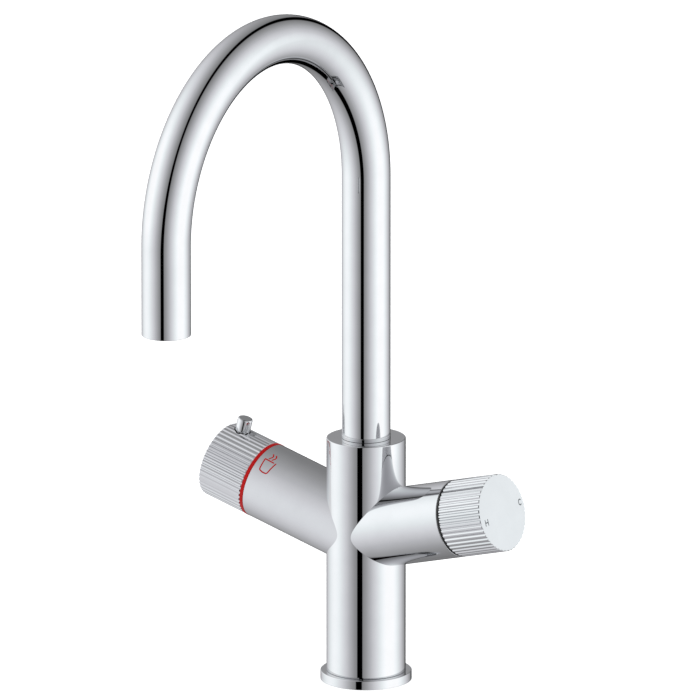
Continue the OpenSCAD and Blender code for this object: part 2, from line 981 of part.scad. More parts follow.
module boiling_valve_body() {
    chamber_end_t = boiling_flange_t + flange_h + disc_gap;
    color(brass_colour)
        difference() {
            on_arm(boiling) {
                translate([0, 0, boiling_disc_t])
                    cylinder(r = valve_r, h = shoulder_t(boiling) - boiling_disc_t);
                translate([0, 0, shoulder_t(boiling)])
                    cylinder(r = knob_bore_r - valve_hex_inset, h = valve_flange_h, $fn = 6);
                translate([0, 0, shoulder_t(boiling)])
                    cylinder(r = sleeve_r0 - ring_lip, h = neck_h);
            }
            on_arm(boiling) {
                translate([0, 0, boiling_disc_t - over])
                    cylinder(r = valve_chamber_r, h = chamber_end_t - boiling_disc_t + over);
                translate([0, 0, boiling_disc_t])
                    cylinder(r = boiling_spindle_r + run, h = boiling_arm_len);
            }
        }
}

// Sleeve fixed to the arm. The button's stem runs in its slot, whose ends stop the knob.
module lock_sleeve() {
    foot_t = shoulder_t(boiling) + valve_flange_h;
    sleeve_h = button_t + slot_half + sleeve_end_h - foot_t;
    color(brass_colour)
        at_t(boiling, foot_t)
            difference() {
                union() {
                    cylinder(r = knob_bore_r - seat, h = sleeve_flange_h);
                    cylinder(r = sleeve_r1, h = sleeve_h);
                }
                translate([0, 0, -over])
                    cylinder(r = sleeve_r0, h = sleeve_h + 2 * over);
                translate([0, 0, button_t - foot_t - slot_half])
                    rotate([0, 0, -boiling_turn - slot_end])
                        rotate_extrude(angle = boiling_turn + 2 * slot_end)
                            translate([sleeve_r0 - over / 2, 0])
                                square([sleeve_r1 - sleeve_r0 + over, 2 * slot_half]);
            }
}

module boiling_spindle() {
    spindle(boiling, boiling_disc_r - seat, boiling_flange_t, boiling_drive_x);
}

module boiling_hub() {
    color(plastic_colour)
        difference() {
            hub(boiling);
            at_button()
                translate([0, 0, hub_boss_x])
                    cylinder(r = button_boss_r + seat, h = knob_bore_r);
        }
}

module boiling_hub_screw() {
    hub_screw(boiling);
}

module boiling_grub_screw() {
    grub_screw(boiling);
}

// The knob's inside carries a boss that guides the button
module boiling_knob() {
    color(chrome_colour)
        difference() {
            union() {
                knob_shell(boiling);
                at_button()
                    translate([0, 0, guide_x + guide_flange_h])
                        cylinder(r = button_boss_r, h = knob_bore_r + over - guide_x - guide_flange_h);
            }
            at_button()
                cylinder(r = button_r + button_play, h = arm_r + over);
            at_button()
                translate([0, 0, knob_bore_r])
                    cylinder(r = button_r + button_gap, h = knob_wall + over);
        }
}

// Child lock

// Plug in the boss that guides the stem and carries the spring
module button_guide() {
    color(brass_colour)
        at_button()
            translate([0, 0, guide_x])
                difference() {
                    union() {
                        cylinder(r = button_boss_r, h = guide_flange_h);
                        cylinder(r = button_r, h = guide_flange_h + guide_spigot_h);
                    }
                    translate([0, 0, -over])
                        cylinder(r = stem_r + run, h = guide_flange_h + guide_spigot_h + 2 * over);
                }
}

module lock_button() {
    top = button_top_x - button_foot_x;
    centre = [button_r - button_round, top - button_round];
    arc = [for (a = [0 : 15 : 90]) centre + button_round * [cos(a), sin(a)]];
    color(chrome_colour)
        at_button()
            difference() {
                union() {
                    translate([0, 0, button_foot_x])
                        rotate_extrude()
                            polygon(concat([[0, 0], [button_r, 0]], arc, [[0, top]]));
                    translate([0, 0, stem_tip_x])
                        cylinder(r = stem_r, h = button_foot_x - stem_tip_x + over);
                }
                translate([0, 0, circlip_x - seat])
                    tube(stem_r - circlip_groove, stem_r + over, circlip_h + 2 * seat);
            }
}

module button_circlip() {
    color(steel_colour)
        at_button()
            translate([0, 0, circlip_x])
                difference() {
                    tube(stem_r - circlip_groove + seat, circlip_r, circlip_h);
                    translate([0, -stem_r / 2, -over])
                        cube([circlip_r + over, stem_r, circlip_h + 2 * over]);
                }
}

// Helical spring as one swept tube of six sides
spring_sides = 6;
spring_rings_a_curl = 8;
spring_rings = spring_curls * spring_rings_a_curl;
spring_coil_r = (stem_r + button_r) / 2 - spring_wire / 8;
spring_pitch = (spring_len - spring_wire - 2 * seat) / spring_curls;

function spring_point(i, j) =
    let (
        turn = 360 * i / spring_rings_a_curl,
        around = 360 * j / spring_sides,
        r = spring_coil_r + spring_wire / 2 * cos(around),
        z = seat + spring_wire / 2 + spring_pitch * i / spring_rings_a_curl + spring_wire / 2 * sin(around)
    )
    [r * cos(turn), r * sin(turn), z];

module button_spring() {
    n = spring_sides;
    points = [for (i = [0 : spring_rings]) for (j = [0 : n - 1]) spring_point(i, j)];
    sides = [
        for (i = [0 : spring_rings - 1])
            for (j = [0 : n - 1])
                let (a = i * n + j, b = i * n + (j + 1) % n)
                    for (f = [[a, a + n, b], [b, a + n, b + n]]) f
    ];
    caps = [
        [for (j = [0 : n - 1]) j],
        [for (j = [n - 1 : -1 : 0]) spring_rings * n + j]
    ];
    color(steel_colour)
        at_button()
            translate([0, 0, spring_seat_x])
                polyhedron(points = points, faces = concat(sides, caps));
}

tap_body();
base_flange();
base_gasket();
hose_connector_block();
connector_o_rings();
upper_spout_bush();
lower_spout_bush();
spout_retaining_screw();
spout_foot();
spout_tube();
spout_o_rings();
boiling_hose();
aerator_housing();
aerator_insert();
boiling_nozzle();
mixer_glide_ring();
mixer_port_seal();
mixer_cartridge_base();
mixer_fixed_disc();
mixer_moving_disc();
mixer_cartridge_housing();
mixer_cartridge_nut();
mixer_spindle();
mixer_hub();
mixer_hub_screw();
mixer_grub_screw();
mixer_knob();
boiling_ring();
boiling_port_seal();
boiling_fixed_disc();
boiling_moving_disc();
boiling_valve_body();
lock_sleeve();
boiling_spindle();
boiling_hub();
boiling_hub_screw();
boiling_grub_screw();
boiling_knob();
button_guide();
lock_button();
button_circlip();
button_spring();
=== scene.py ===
import logging
import math
from collections.abc import Sequence
from dataclasses import dataclass
from enum import Enum

import bpy
import numpy as np
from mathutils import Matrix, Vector


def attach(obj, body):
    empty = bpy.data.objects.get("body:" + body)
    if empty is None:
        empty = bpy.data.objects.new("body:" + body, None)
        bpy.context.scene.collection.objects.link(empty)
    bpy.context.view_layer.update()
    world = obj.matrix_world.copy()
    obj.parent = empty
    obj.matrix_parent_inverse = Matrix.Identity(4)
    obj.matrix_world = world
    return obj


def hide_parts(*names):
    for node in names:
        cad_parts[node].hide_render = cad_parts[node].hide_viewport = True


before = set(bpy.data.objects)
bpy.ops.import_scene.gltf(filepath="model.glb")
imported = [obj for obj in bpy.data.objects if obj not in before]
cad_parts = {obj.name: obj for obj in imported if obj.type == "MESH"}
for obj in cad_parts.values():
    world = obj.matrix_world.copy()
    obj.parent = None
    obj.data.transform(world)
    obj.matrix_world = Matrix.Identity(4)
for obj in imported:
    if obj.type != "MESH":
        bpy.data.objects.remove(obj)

# Looks of a boiling water tap: a chromed column with two sloping arms, a swivelling
# gooseneck spout, two fluted knobs and a child-lock button. All lengths here are in
# millimetres, and angles in radians unless said otherwise, in the CAD's frame: origin
# under the middle of the base, +Z up, spout towards -Y.

LOG = logging.getLogger("boiling_tap")
MM = 0.001


class Side(Enum):
    """The arm that a piece lies on, with the sign of its world X direction."""

    MIXER = 1
    BOILING = -1


@dataclass(frozen=True)
class ArmSizes:
    """Where an arm ends along its axis, how deep its cup is, and its valve bore's radius."""

    end: float
    cup_depth: float
    valve_bore: float


ARMS = {
    Side.MIXER: ArmSizes(68.0, 10.0, 17.55),
    Side.BOILING: ArmSizes(73.3, 15.3, 11.95),
}
ARM_R = 22.5
ARM_HEIGHT = 89.0  # where the arms' axes cross the column's
ARM_SLOPE = math.radians(15.0)
AROUND = 256  # straight lines round the column, each arm and each ring

MERGE = 2e-4  # millimetres within which two surface points are one vertex
MERGE_SHIFT = 0.3819  # puts round coordinates well inside a cell of that size
RIM_TABLE = 20001  # points of the table that finds a hole's rim on a wall

Array = np.ndarray
Pair = tuple[float, float]
Triple = tuple[float, float, float]
Corner = tuple[float, ...]  # radius, height and, on a rounded corner, its rounding's radius


# ---- surfaces ----


@dataclass(frozen=True)
class Axes:
    """A right-handed frame in which turned pieces are described: radius, angle and height."""

    origin: Triple
    ex: Triple
    ey: Triple
    ez: Triple

    def place(self, r: Array, phi: Array, t: Array) -> Array:
        """Point = origin + r (cos phi ex + sin phi ey) + t ez, for whole arrays.

        Args:
            r: radii.
            phi: angles.
            t: heights along the axis.

        Returns:
            World points in millimetres, with a last axis of three.
        """
        r, phi, t = np.broadcast_arrays(r, phi, t)
        flat = self.vectors(r * np.cos(phi), r * np.sin(phi), t)
        return flat + np.asarray(self.origin)

    def vectors(self, x: Array, y: Array, z: Array) -> Array:
        """World vector = x ex + y ey + z ez.

        Args:
            x: parts along ex.
            y: parts along ey.
            z: parts along ez.

        Returns:
            World vectors, with a last axis of three.
        """
        x, y, z = np.broadcast_arrays(x, y, z)
        return (
            x[..., None] * np.asarray(self.ex)
            + y[..., None] * np.asarray(self.ey)
            + z[..., None] * np.asarray(self.ez)
        )

    def normals(self, n_r: Array, n_phi: Array, n_t: Array, phi: Array) -> Array:
        """Unit normals from their radial, tangential and axial parts at each angle.

        Args:
            n_r: part along the radius.
            n_phi: part along the tangent.
            n_t: part along the axis.
            phi: angles.

        Returns:
            World unit vectors, with a last axis of three.
        """
        n_r, n_phi, n_t, phi = np.broadcast_arrays(n_r, n_phi, n_t, phi)
        size = np.sqrt(n_r**2 + n_phi**2 + n_t**2)
        c, s = np.cos(phi), np.sin(phi)
        return self.vectors(
            (n_r * c - n_phi * s) / size, (n_r * s + n_phi * c) / size, n_t / size
        )

    def across(self, t: float) -> "Axes":
        """Frame at a height t whose own axis is this one's ex, such as the button's."""
        return Axes(tuple(self.place(0.0, 0.0, t)), self.ey, self.ez, self.ex)


UPRIGHT = Axes((0, 0, 0), (1, 0, 0), (0, 1, 0), (0, 0, 1))


def arm_axes(side: Side) -> Axes:
    """Frame of an arm: ez runs outwards along it, and ey is world +Y.

    So ex points down on the mixer arm and up on the boiling arm.

    Args:
        side: the arm.

    Returns:
        The arm's frame.
    """
    c, s, way = math.cos(ARM_SLOPE), math.sin(ARM_SLOPE), side.value
    return Axes((0, 0, ARM_HEIGHT), (s, 0, -way * c), (0, 1, 0), (way * c, 0, s))


def profile_rows(corners: Sequence[Corner], closed: bool = False, steps: int = 5) -> Array:
    """Rows of a turned profile, walked with the solid on the left.

    A straight stretch from A to B has the normal (dt, -dr). A corner with a rounding f
    becomes an arc of radius f that touches both stretches f tan(turn / 2) from the
    corner; a sharp corner becomes two rows at one place with two normals. An open
    profile starts and ends with a sharp corner, which has one row only.

    Args:
        corners: the profile's corners.
        closed: whether the last corner joins the first one.
        steps: stretches in each rounding.

    Returns:
        An array of rows (r, t, normal r, normal t).
    """
    at = np.array([corner[:2] for corner in corners], float)
    rows: list[tuple[float, ...]] = []
    for i, here in enumerate(at):
        before, after = at[i - 1], at[(i + 1) % len(at)]
        d1 = (here - before) / np.linalg.norm(here - before)
        d2 = (after - here) / np.linalg.norm(after - here)
        turn = math.atan2(d1[0] * d2[1] - d1[1] * d2[0], float(d1 @ d2))
        n1, f = np.array([d1[1], -d1[0]]), (*corners[i], 0.0)[2]
        if f <= 0:
            rows += [(*here, *n1), (*here, d2[1], -d2[0])]
            continue
        sign = math.copysign(1.0, turn)
        centre = here - d1 * f * math.tan(abs(turn) / 2) - sign * f * n1
        for k in range(steps + 1):
            a = turn * k / steps
            nr = n1[0] * math.cos(a) - n1[1] * math.sin(a)
            nt = n1[0] * math.sin(a) + n1[1] * math.cos(a)
            rows.append((centre[0] + sign * f * nr, centre[1] + sign * f * nt, nr, nt))
    return np.array([*rows, rows[0]] if closed else rows[1:-1])


def circle(count: int) -> Array:
    """Angles of equal steps once round."""
    return 2 * np.pi * np.arange(count) / count


class Shell:
    """Collects surface patches with their exact normals and welds them into one mesh."""

    def __init__(self) -> None:
        """Starts an empty shell."""
        self._points: list[Array] = []
        self._normals: list[Array] = []
        self._faces: list[Array] = []
        self._count = 0

    def grid(self, points: Array, normals: Array) -> None:
        """Adds a surface given on a grid of rows and columns; the last column joins the first.

        Args:
            points: rows x columns x 3.
            normals: unit normals on the same grid, or one row or one vector for all of it.
        """
        rows, cols = points.shape[:2]
        i, j = np.arange(rows - 1)[:, None] * cols, np.arange(cols)[None, :]
        k = (j + 1) % cols
        quads = np.stack([i + j, i + k, i + cols + k, i + cols + j], -1)
        self._points.append(points.reshape(-1, 3))
        self._normals.append(np.broadcast_to(normals, points.shape).reshape(-1, 3))
        self._faces.append(quads.reshape(-1, 4) + self._count)
        self._count += rows * cols

    def strip(self, axes: Axes, rows: Sequence[tuple], normals: Array) -> None:
        """Adds the surface through rows of points that are given in a turned piece's frame.

        Args:
            axes: the frame.
            rows: radii, angles and heights of each row, as arrays or single numbers.
            normals: unit normals of one row, or one vector for all of it.
        """
        self.grid(np.stack([axes.place(*row) for row in rows]), normals)

    def turned(self, axes: Axes, rows: Array, phi: Array) -> None:
        """Adds a surface of revolution: each profile row is turned about the axis.

        Args:
            axes: the frame whose ez is the axis.
            rows: profile rows (r, t, n_r, n_t), as from profile_rows.
            phi: angles of the columns, once round.
        """
        r, t, nr, nt = (rows[:, [c]] for c in range(4))
        phi = phi[None, :]
        self.grid(axes.place(r, phi, t), axes.normals(nr, 0 * nr, nt, phi))

    def mesh(self, name: str) -> bpy.types.Mesh:
        """Welds coincident points, drops faces without area, and keeps the exact normals.

        A quad with two equal neighbouring vertices becomes a triangle. Each face is
        wound so that its own normal agrees with the normals it was given.

        Args:
            name: the mesh's name.

        Returns:
            The Blender mesh, in metres.
        """
        points, normals = np.concatenate(self._points), np.concatenate(self._normals)
        quads = np.concatenate(self._faces)
        key = np.floor(points / MERGE + MERGE_SHIFT).astype(np.int64)
        _, first, vertex = np.unique(key, axis=0, return_index=True, return_inverse=True)
        vertex = vertex.reshape(-1)
        v = vertex[quads]
        same = v == np.roll(v, -1, axis=1)
        whole, one = same.sum(1) == 0, same.sum(1) == 1
        crossed = (v[:, 0] == v[:, 2]) | (v[:, 1] == v[:, 3])
        four = quads[whole & ~crossed]
        drop = np.argmax(same[one & ~crossed], axis=1)
        kept = (drop[:, None] + np.array([1, 2, 3])) % 4
        three = np.take_along_axis(quads[one & ~crossed], kept, axis=1)
        for faces in (four, three):
            p = points[faces]
            own = np.cross(p[:, 2] - p[:, 0], p[:, -1] - p[:, 1])
            given = normals[faces].sum(1)
            wrong = (own * given).sum(1) < 0
            faces[wrong] = faces[wrong][:, ::-1]
        corners = np.concatenate([four.ravel(), three.ravel()])
        sizes = np.r_[np.full(len(four), 4), np.full(len(three), 3)]
        starts = np.r_[0, np.cumsum(sizes)[:-1]]
        mesh = bpy.data.meshes.new(name)
        mesh.vertices.add(len(first))
        mesh.vertices.foreach_set("co", (points[first] * MM).astype(np.float32).ravel())
        mesh.loops.add(len(corners))
        mesh.loops.foreach_set("vertex_index", vertex[corners].astype(np.int32))
        mesh.polygons.add(len(sizes))
        mesh.polygons.foreach_set("loop_start", starts.astype(np.int32))
        mesh.polygons.foreach_set("use_smooth", np.ones(len(sizes), bool))
        mesh.update(calc_edges=True)
        mesh.normals_split_custom_set(normals[corners].tolist())
        return mesh


# ---- finishes ----


def linear(hex_colour: str) -> tuple[float, float, float, float]:
    """Turns an sRGB hex colour into linear RGBA.

    Args:
        hex_colour: a hash sign and six digits.

    Returns:
        Red, green, blue and alpha.
    """
    values = [int(hex_colour[i : i + 2], 16) / 255 for i in (1, 3, 5)]
    curve = [v / 12.92 if v <= 0.04045 else ((v + 0.055) / 1.055) ** 2.4 for v in values]
    return (*curve, 1.0)


def add_node(
    tree: bpy.types.NodeTree, kind: str, inputs: dict | Sequence = (), **settings: object
) -> bpy.types.Node:
    """Adds a shader node with its settings and its inputs.

    Args:
        tree: the node tree.
        kind: the node's type name, without the ShaderNode that all begin with.
        inputs: values in the order of the node's inputs, or by an input's name; an
            output socket is linked, and a node stands for its first output.
        settings: properties of the node itself.

    Returns:
        The new node.
    """
    node = tree.nodes.new("ShaderNode" + kind)
    for key, value in settings.items():
        setattr(node, key, value)
    for key, value in inputs.items() if isinstance(inputs, dict) else enumerate(inputs):
        if isinstance(value, bpy.types.Node):
            value = value.outputs[0]
        if isinstance(value, bpy.types.NodeSocket):
            tree.links.new(value, node.inputs[key])
        else:
            node.inputs[key].default_value = value
    return node


def set_ramp(node: bpy.types.Node, stops: Sequence[tuple[float, tuple]]) -> None:
    """Gives a Color Ramp node its stops.

    Args:
        node: the node.
        stops: positions with their linear colours.
    """
    elements = node.color_ramp.elements
    while len(elements) > 1:
        elements.remove(elements[-1])
    for i, (position, colour) in enumerate(stops):
        element = elements[0] if i == 0 else elements.new(position)
        element.position = position
        element.color = colour


PATCHES = (0.35, 0.65)  # span of the cloudy noise over which a finish changes


@dataclass(frozen=True)
class Finish:
    """A real material and how its surface was made."""

    name: str
    slot: str
    colour: str
    colour_far: str
    metallic: float
    rough: Pair
    patch_mm: float
    grain_mm: float
    grain_depth_mm: float
    grain_stretch: Triple = (1.0, 1.0, 1.0)
    ior: float = 1.45

    def material(self) -> bpy.types.Material:
        """Builds the material once and then gives the same one back.

        Cloudy noise of patch_mm shifts the colour between its two hex values and the
        roughness between its two limits; fine noise of grain_mm makes the bump. A metal
        keeps the default index of refraction.

        Returns:
            The Blender material.
        """
        made = bpy.data.materials.get(self.name)
        if made is not None:
            return made
        made = bpy.data.materials.new(self.name)
        made.use_nodes = True
        tree = made.node_tree
        where = add_node(tree, "TexCoord").outputs["Object"]
        cloudy = {"Scale": 1 / (self.patch_mm * MM), "Detail": 4.0, "Roughness": 0.55}
        patches = add_node(tree, "TexNoise", {"Vector": where, **cloudy})
        tint = add_node(tree, "ValToRGB", (patches,))
        set_ramp(tint, list(zip(PATCHES, (linear(self.colour), linear(self.colour_far)))))
        rough = add_node(tree, "MapRange", (patches, *PATCHES, *self.rough))
        stretch = {"Vector": where, "Scale": self.grain_stretch}
        along = add_node(tree, "Mapping", stretch)
        fine = {"Scale": 1 / (self.grain_mm * MM), "Detail": 2.0}
        grain = add_node(tree, "TexNoise", {"Vector": along, **fine})
        relief = {"Strength": 1.0, "Distance": self.grain_depth_mm * MM}
        bump = add_node(tree, "Bump", {"Height": grain, **relief})
        shader = tree.nodes["Principled BSDF"]
        for name, node in (("Base Color", tint), ("Roughness", rough), ("Normal", bump)):
            tree.links.new(node.outputs[0], shader.inputs[name])
        shader.inputs["Metallic"].default_value = self.metallic
        if self.metallic < 0.5:
            shader.inputs["IOR"].default_value = self.ior
        return made


# Bright chromium plate on polished brass: a mirror with the faintest haze from wiping.
CHROME = Finish(
    "bright_chrome_plate", "polished_chrome", "#C6C7C9", "#C9CACC", 1.0,
    (0.015, 0.035), 14.0, 2.5, 0.0002,
)
# Turned brass, left bare: warm, with fine lathe marks that blur its reflections.
BRASS = Finish(
    "turned_brass", "brass", "#D3B27A", "#C9A468", 1.0,
    (0.18, 0.30), 5.0, 0.25, 0.004, (1.0, 1.0, 6.0),
)
# Stainless steel screws: cold grey, tumbled smooth.
STEEL = Finish(
    "tumbled_stainless_steel", "steel", "#B4B5B6", "#A6A8AA", 1.0,
    (0.20, 0.32), 2.0, 0.2, 0.003,
)
# Sintered alumina discs, lapped: off-white, with a soft even gloss.
ALUMINA = Finish(
    "lapped_alumina", "ceramic", "#EDEBE4", "#E4E1D8", 0.0,
    (0.16, 0.24), 3.0, 0.15, 0.001, ior=1.76,
)
# Moulded EPDM rubber: charcoal, dull, with a fine moulded grain.
EPDM = Finish(
    "moulded_epdm_rubber", "rubber", "#232325", "#2B2B2C", 0.0,
    (0.62, 0.78), 3.0, 0.3, 0.012, ior=1.5,
)
# Acetal bearing rings: near black, with a soft gloss.
ACETAL = Finish(
    "moulded_black_acetal", "black_plastic", "#08080A", "#0C0C0E", 0.0,
    (0.20, 0.30), 3.0, 0.3, 0.002, ior=1.48,
)
# Glass-filled nylon of hubs and cartridge: pale grey with slightly cloudy flow marks.
NYLON = Finish(
    "moulded_grey_nylon", "grey_plastic", "#DADCDE", "#CFD1D3", 0.0,
    (0.34, 0.48), 4.0, 0.25, 0.006, ior=1.53,
)
# Food-grade silicone hose: milky, soft and dull.
SILICONE = Finish(
    "extruded_silicone", "silicone", "#E6E8E5", "#DEE0DC", 0.0,
    (0.45, 0.6), 6.0, 0.5, 0.004, ior=1.41,
)
# Red enamel of the ring and the mark: saturated, with a soft sheen.
ENAMEL = Finish(
    "baked_red_enamel", "red_enamel", "#CC0A0C", "#D20E10", 0.0,
    (0.4, 0.5), 3.0, 0.4, 0.003, ior=1.25,
)
# Letters etched into the chrome and filled with grey: dull against the mirror.
ETCH = Finish(
    "grey_filled_etching", "grey_plastic", "#5E6265", "#6A6E71", 0.0,
    (0.5, 0.65), 1.0, 0.15, 0.004, ior=1.4,
)

# Every CAD node, by the finish of the real part.
NODE_FINISHES: dict[Finish, tuple[str, ...]] = {
    CHROME: (
        "tap_body", "base_flange", "spout_foot", "spout_tube", "aerator_housing",
        "boiling_nozzle", "mixer_knob", "boiling_knob", "lock_button",
    ),
    BRASS: (
        "hose_connector_block", "mixer_cartridge_nut", "mixer_spindle",
        "boiling_valve_body", "lock_sleeve", "boiling_spindle", "button_guide",
    ),
    STEEL: (
        "spout_retaining_screw", "mixer_hub_screw", "mixer_grub_screw",
        "boiling_hub_screw", "boiling_grub_screw", "button_circlip", "button_spring",
    ),
    ALUMINA: (
        "mixer_fixed_disc", "mixer_moving_disc", "boiling_fixed_disc", "boiling_moving_disc",
    ),
    EPDM: (
        "base_gasket", "connector_o_rings", "spout_o_rings", "mixer_port_seal",
        "boiling_port_seal",
    ),
    ACETAL: ("upper_spout_bush", "lower_spout_bush", "mixer_glide_ring"),
    NYLON: (
        "aerator_insert", "mixer_cartridge_base", "mixer_cartridge_housing", "mixer_hub",
        "boiling_hub",
    ),
    SILICONE: ("boiling_hose",),
    ENAMEL: ("boiling_ring",),
}


def add_piece(
    name: str, shell: Shell, body: str, finish: Finish, replaces: Sequence[str] = ()
) -> None:
    """Makes a shell into a piece of the tap, at the origin, that rides on a body.

    Args:
        name: the piece's name.
        shell: its welded surface.
        body: the CAD body it moves with.
        finish: its material.
        replaces: CAD nodes that it stands for.
    """
    mesh = shell.mesh(name)
    mesh.materials.append(finish.material())
    piece = bpy.data.objects.new(name, mesh)
    bpy.context.scene.collection.objects.link(piece)
    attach(piece, body)
    if replaces:
        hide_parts(*replaces)
    LOG.info("%s: %d faces on %s", name, len(mesh.polygons), body)


def turned(axes: Axes, rows: Array, around: int = AROUND) -> Shell:
    """Makes a shell from one profile.

    Args:
        axes: the frame whose ez is the axis.
        rows: profile rows (r, t, n_r, n_t).
        around: columns once round.

    Returns:
        The shell.
    """
    shell = Shell()
    shell.turned(axes, rows, circle(around))
    return shell


# ---- windows ----


def there_and_back(values: Array) -> Array:
    """The values, then the same in reverse without the two ends, for a rim's two halves."""
    return np.r_[values, values[::-1][1:-1]]


@dataclass(frozen=True)
class Window:
    """A round hole through the wall of a turned piece, square to its axis.

    Attributes:
        phi: angle of the hole's axis.
        t: height of the hole's axis.
        rho: radius of the hole.
        half: stretches across half of its rim.
    """

    phi: float
    t: float
    rho: float
    half: int = 32

    def turns(self) -> Array:
        """Angles round half of the rim."""
        return np.pi * np.arange(self.half + 1) / self.half

    def rises(self) -> Array:
        """Half heights of the hole at the rim's columns: rho sin(k pi / half)."""
        return self.rho * np.sin(self.turns())

    def columns(self, wall: "Outline") -> Array:
        """Angles of the wall's columns that pass through the hole's rim.

        The rim's offsets are w = -rho cos(k pi / half), and a column at an angle phi
        has the offset r(phi) sin(phi - centre), which is solved for phi by a fine table
        over a little more than the hole's span.

        Args:
            wall: the outline that the hole goes through.

        Returns:
            Ascending angles.
        """
        reach = 1.3 * math.asin(self.rho / wall.radius) + 0.02
        fine = self.phi + np.linspace(-reach, reach, RIM_TABLE)
        offset = wall.radii(fine)[0] * np.sin(fine - self.phi)
        return np.interp(-self.rho * np.cos(self.turns()), offset, fine)

    def span(self, wall: "Outline", phi: Array) -> slice:
        """Which of all the wall's columns phi are those of the hole's rim."""
        first = int(np.argmin(np.abs(phi - self.columns(wall)[0])))
        return slice(first, first + self.half + 1)

    def wall(
        self, shell: Shell, axes: Axes, outer: tuple, inner: tuple, cap: bool = False
    ) -> None:
        """Adds the hole's own wall between its rims, with normals towards the hole's axis.

        Args:
            shell: the shell to add to.
            axes: the frame of the turned piece.
            outer: radii and angles of the outer rim's columns.
            inner: the same for the inner rim.
            cap: whether a flat floor closes the hole at its inner rim.
        """
        rise = self.rises()
        h = np.r_[-rise, rise[::-1][1:-1]]
        w = -np.cos(there_and_back(self.turns()))
        rims = [
            axes.place(there_and_back(r), there_and_back(phi), self.t + h)
            for r, phi in (outer, inner)
        ]
        c, s = math.cos(self.phi), math.sin(self.phi)
        shell.grid(np.stack(rims), axes.vectors(w * s, -w * c, -h / self.rho))
        if cap:
            middle = np.broadcast_to(rims[1].mean(0), rims[1].shape)
            shell.grid(np.stack([rims[1], middle]), axes.vectors(c, s, 0.0))


@dataclass(frozen=True)
class Outline:
    """A plain round outline, and the base of the fluted one."""

    radius: float

    def radii(self, phi: Array) -> tuple[Array, Array]:
        """Radius and its slope with the angle."""
        return np.full_like(phi, self.radius), np.zeros_like(phi)


@dataclass(frozen=True)
class FlutedOutline(Outline):
    """Outline with straight-sided grooves that have a rounded floor and rounded crests.

    Half a groove, from its middle u = 0 outwards, is half the flat floor, an arc of
    bottom_r up to the flank's angle, a straight flank, and an arc of crest_r that ends
    level with the land. The grooves' middles lie a phase past each multiple of the pitch.
    Each arc and each flank has the same number of steps. The flank's angle and the phase
    are in degrees.
    """

    flutes: int = 46
    depth: float = 0.68
    floor: float = 0.68
    flank: float = 46.0
    bottom_r: float = 0.06
    crest_r: float = 0.05
    phase: float = 0.0
    steps: int = 3

    def joints(self) -> tuple[float, float, float, float]:
        """Where the parts of half a groove end.

        Returns:
            Ends of the floor, the bottom arc, the flank and the crest arc, from the middle.
        """
        a = math.radians(self.flank)
        arcs = (self.bottom_r + self.crest_r) * (1 - math.cos(a))
        u0 = self.floor / 2
        u1 = u0 + self.bottom_r * math.sin(a)
        u2 = u1 + (self.depth - arcs) / math.tan(a)
        return u0, u1, u2, u2 + self.crest_r * math.sin(a)

    def radii(self, phi: Array) -> tuple[Array, Array]:
        """Radius and its slope with the angle.

        With u the arc length from the nearest groove's middle, the height above the
        floor is 0, then b - sqrt(b^2 - (u - u0)^2), then a straight rise, then depth
        less c - sqrt(c^2 - (u3 - u)^2), for the arc radii b and c.

        Args:
            phi: angles.

        Returns:
            Radii and slopes, in millimetres and millimetres a radian.
        """
        pitch = 2 * np.pi / self.flutes
        turn = phi - math.radians(self.phase)
        turn = turn - pitch * np.round(turn / pitch)
        u, side = np.abs(turn) * self.radius, np.sign(turn)
        u0, u1, u2, u3 = self.joints()
        tangent = math.tan(math.radians(self.flank))
        low = np.clip(u - u0, 0, u1 - u0)
        rise = self.bottom_r - np.sqrt(self.bottom_r**2 - low**2)
        straight = rise + (u - u1) * tangent
        left = np.clip(u3 - u, 0, u3 - u2)
        drop = self.crest_r - np.sqrt(self.crest_r**2 - left**2)
        height = np.where(u < u1, rise, np.where(u < u2, straight, self.depth - drop))
        low_slope = low / np.sqrt(self.bottom_r**2 - low**2)
        high_slope = left / np.sqrt(self.crest_r**2 - left**2)
        steep = np.where(u < u1, low_slope, np.where(u < u2, tangent, high_slope))
        return self.radius - self.depth + height, steep * side * self.radius

    def columns(self) -> Array:
        """Columns at each groove's floor, arcs and flanks, with the land between grooves.

        Returns:
            Ascending angles, once round, from near -90 degrees.
        """
        u0, u1, u2, u3 = self.joints()
        ends, count = ((u0, u1), (u1, u2), (u2, u3)), self.steps + 1
        half = np.concatenate([[0, u0], *(np.linspace(a, b, count)[1:] for a, b in ends)])
        pitch = 2 * np.pi / self.flutes
        one = np.r_[-half[:0:-1], half] / self.radius
        shift = math.radians(self.phase)
        start = np.round((pitch / 2 - np.pi / 2 - shift) / pitch) * pitch + shift
        return np.sort((start + pitch * np.arange(self.flutes)[:, None] + one).ravel())


# ---- column and arms ----


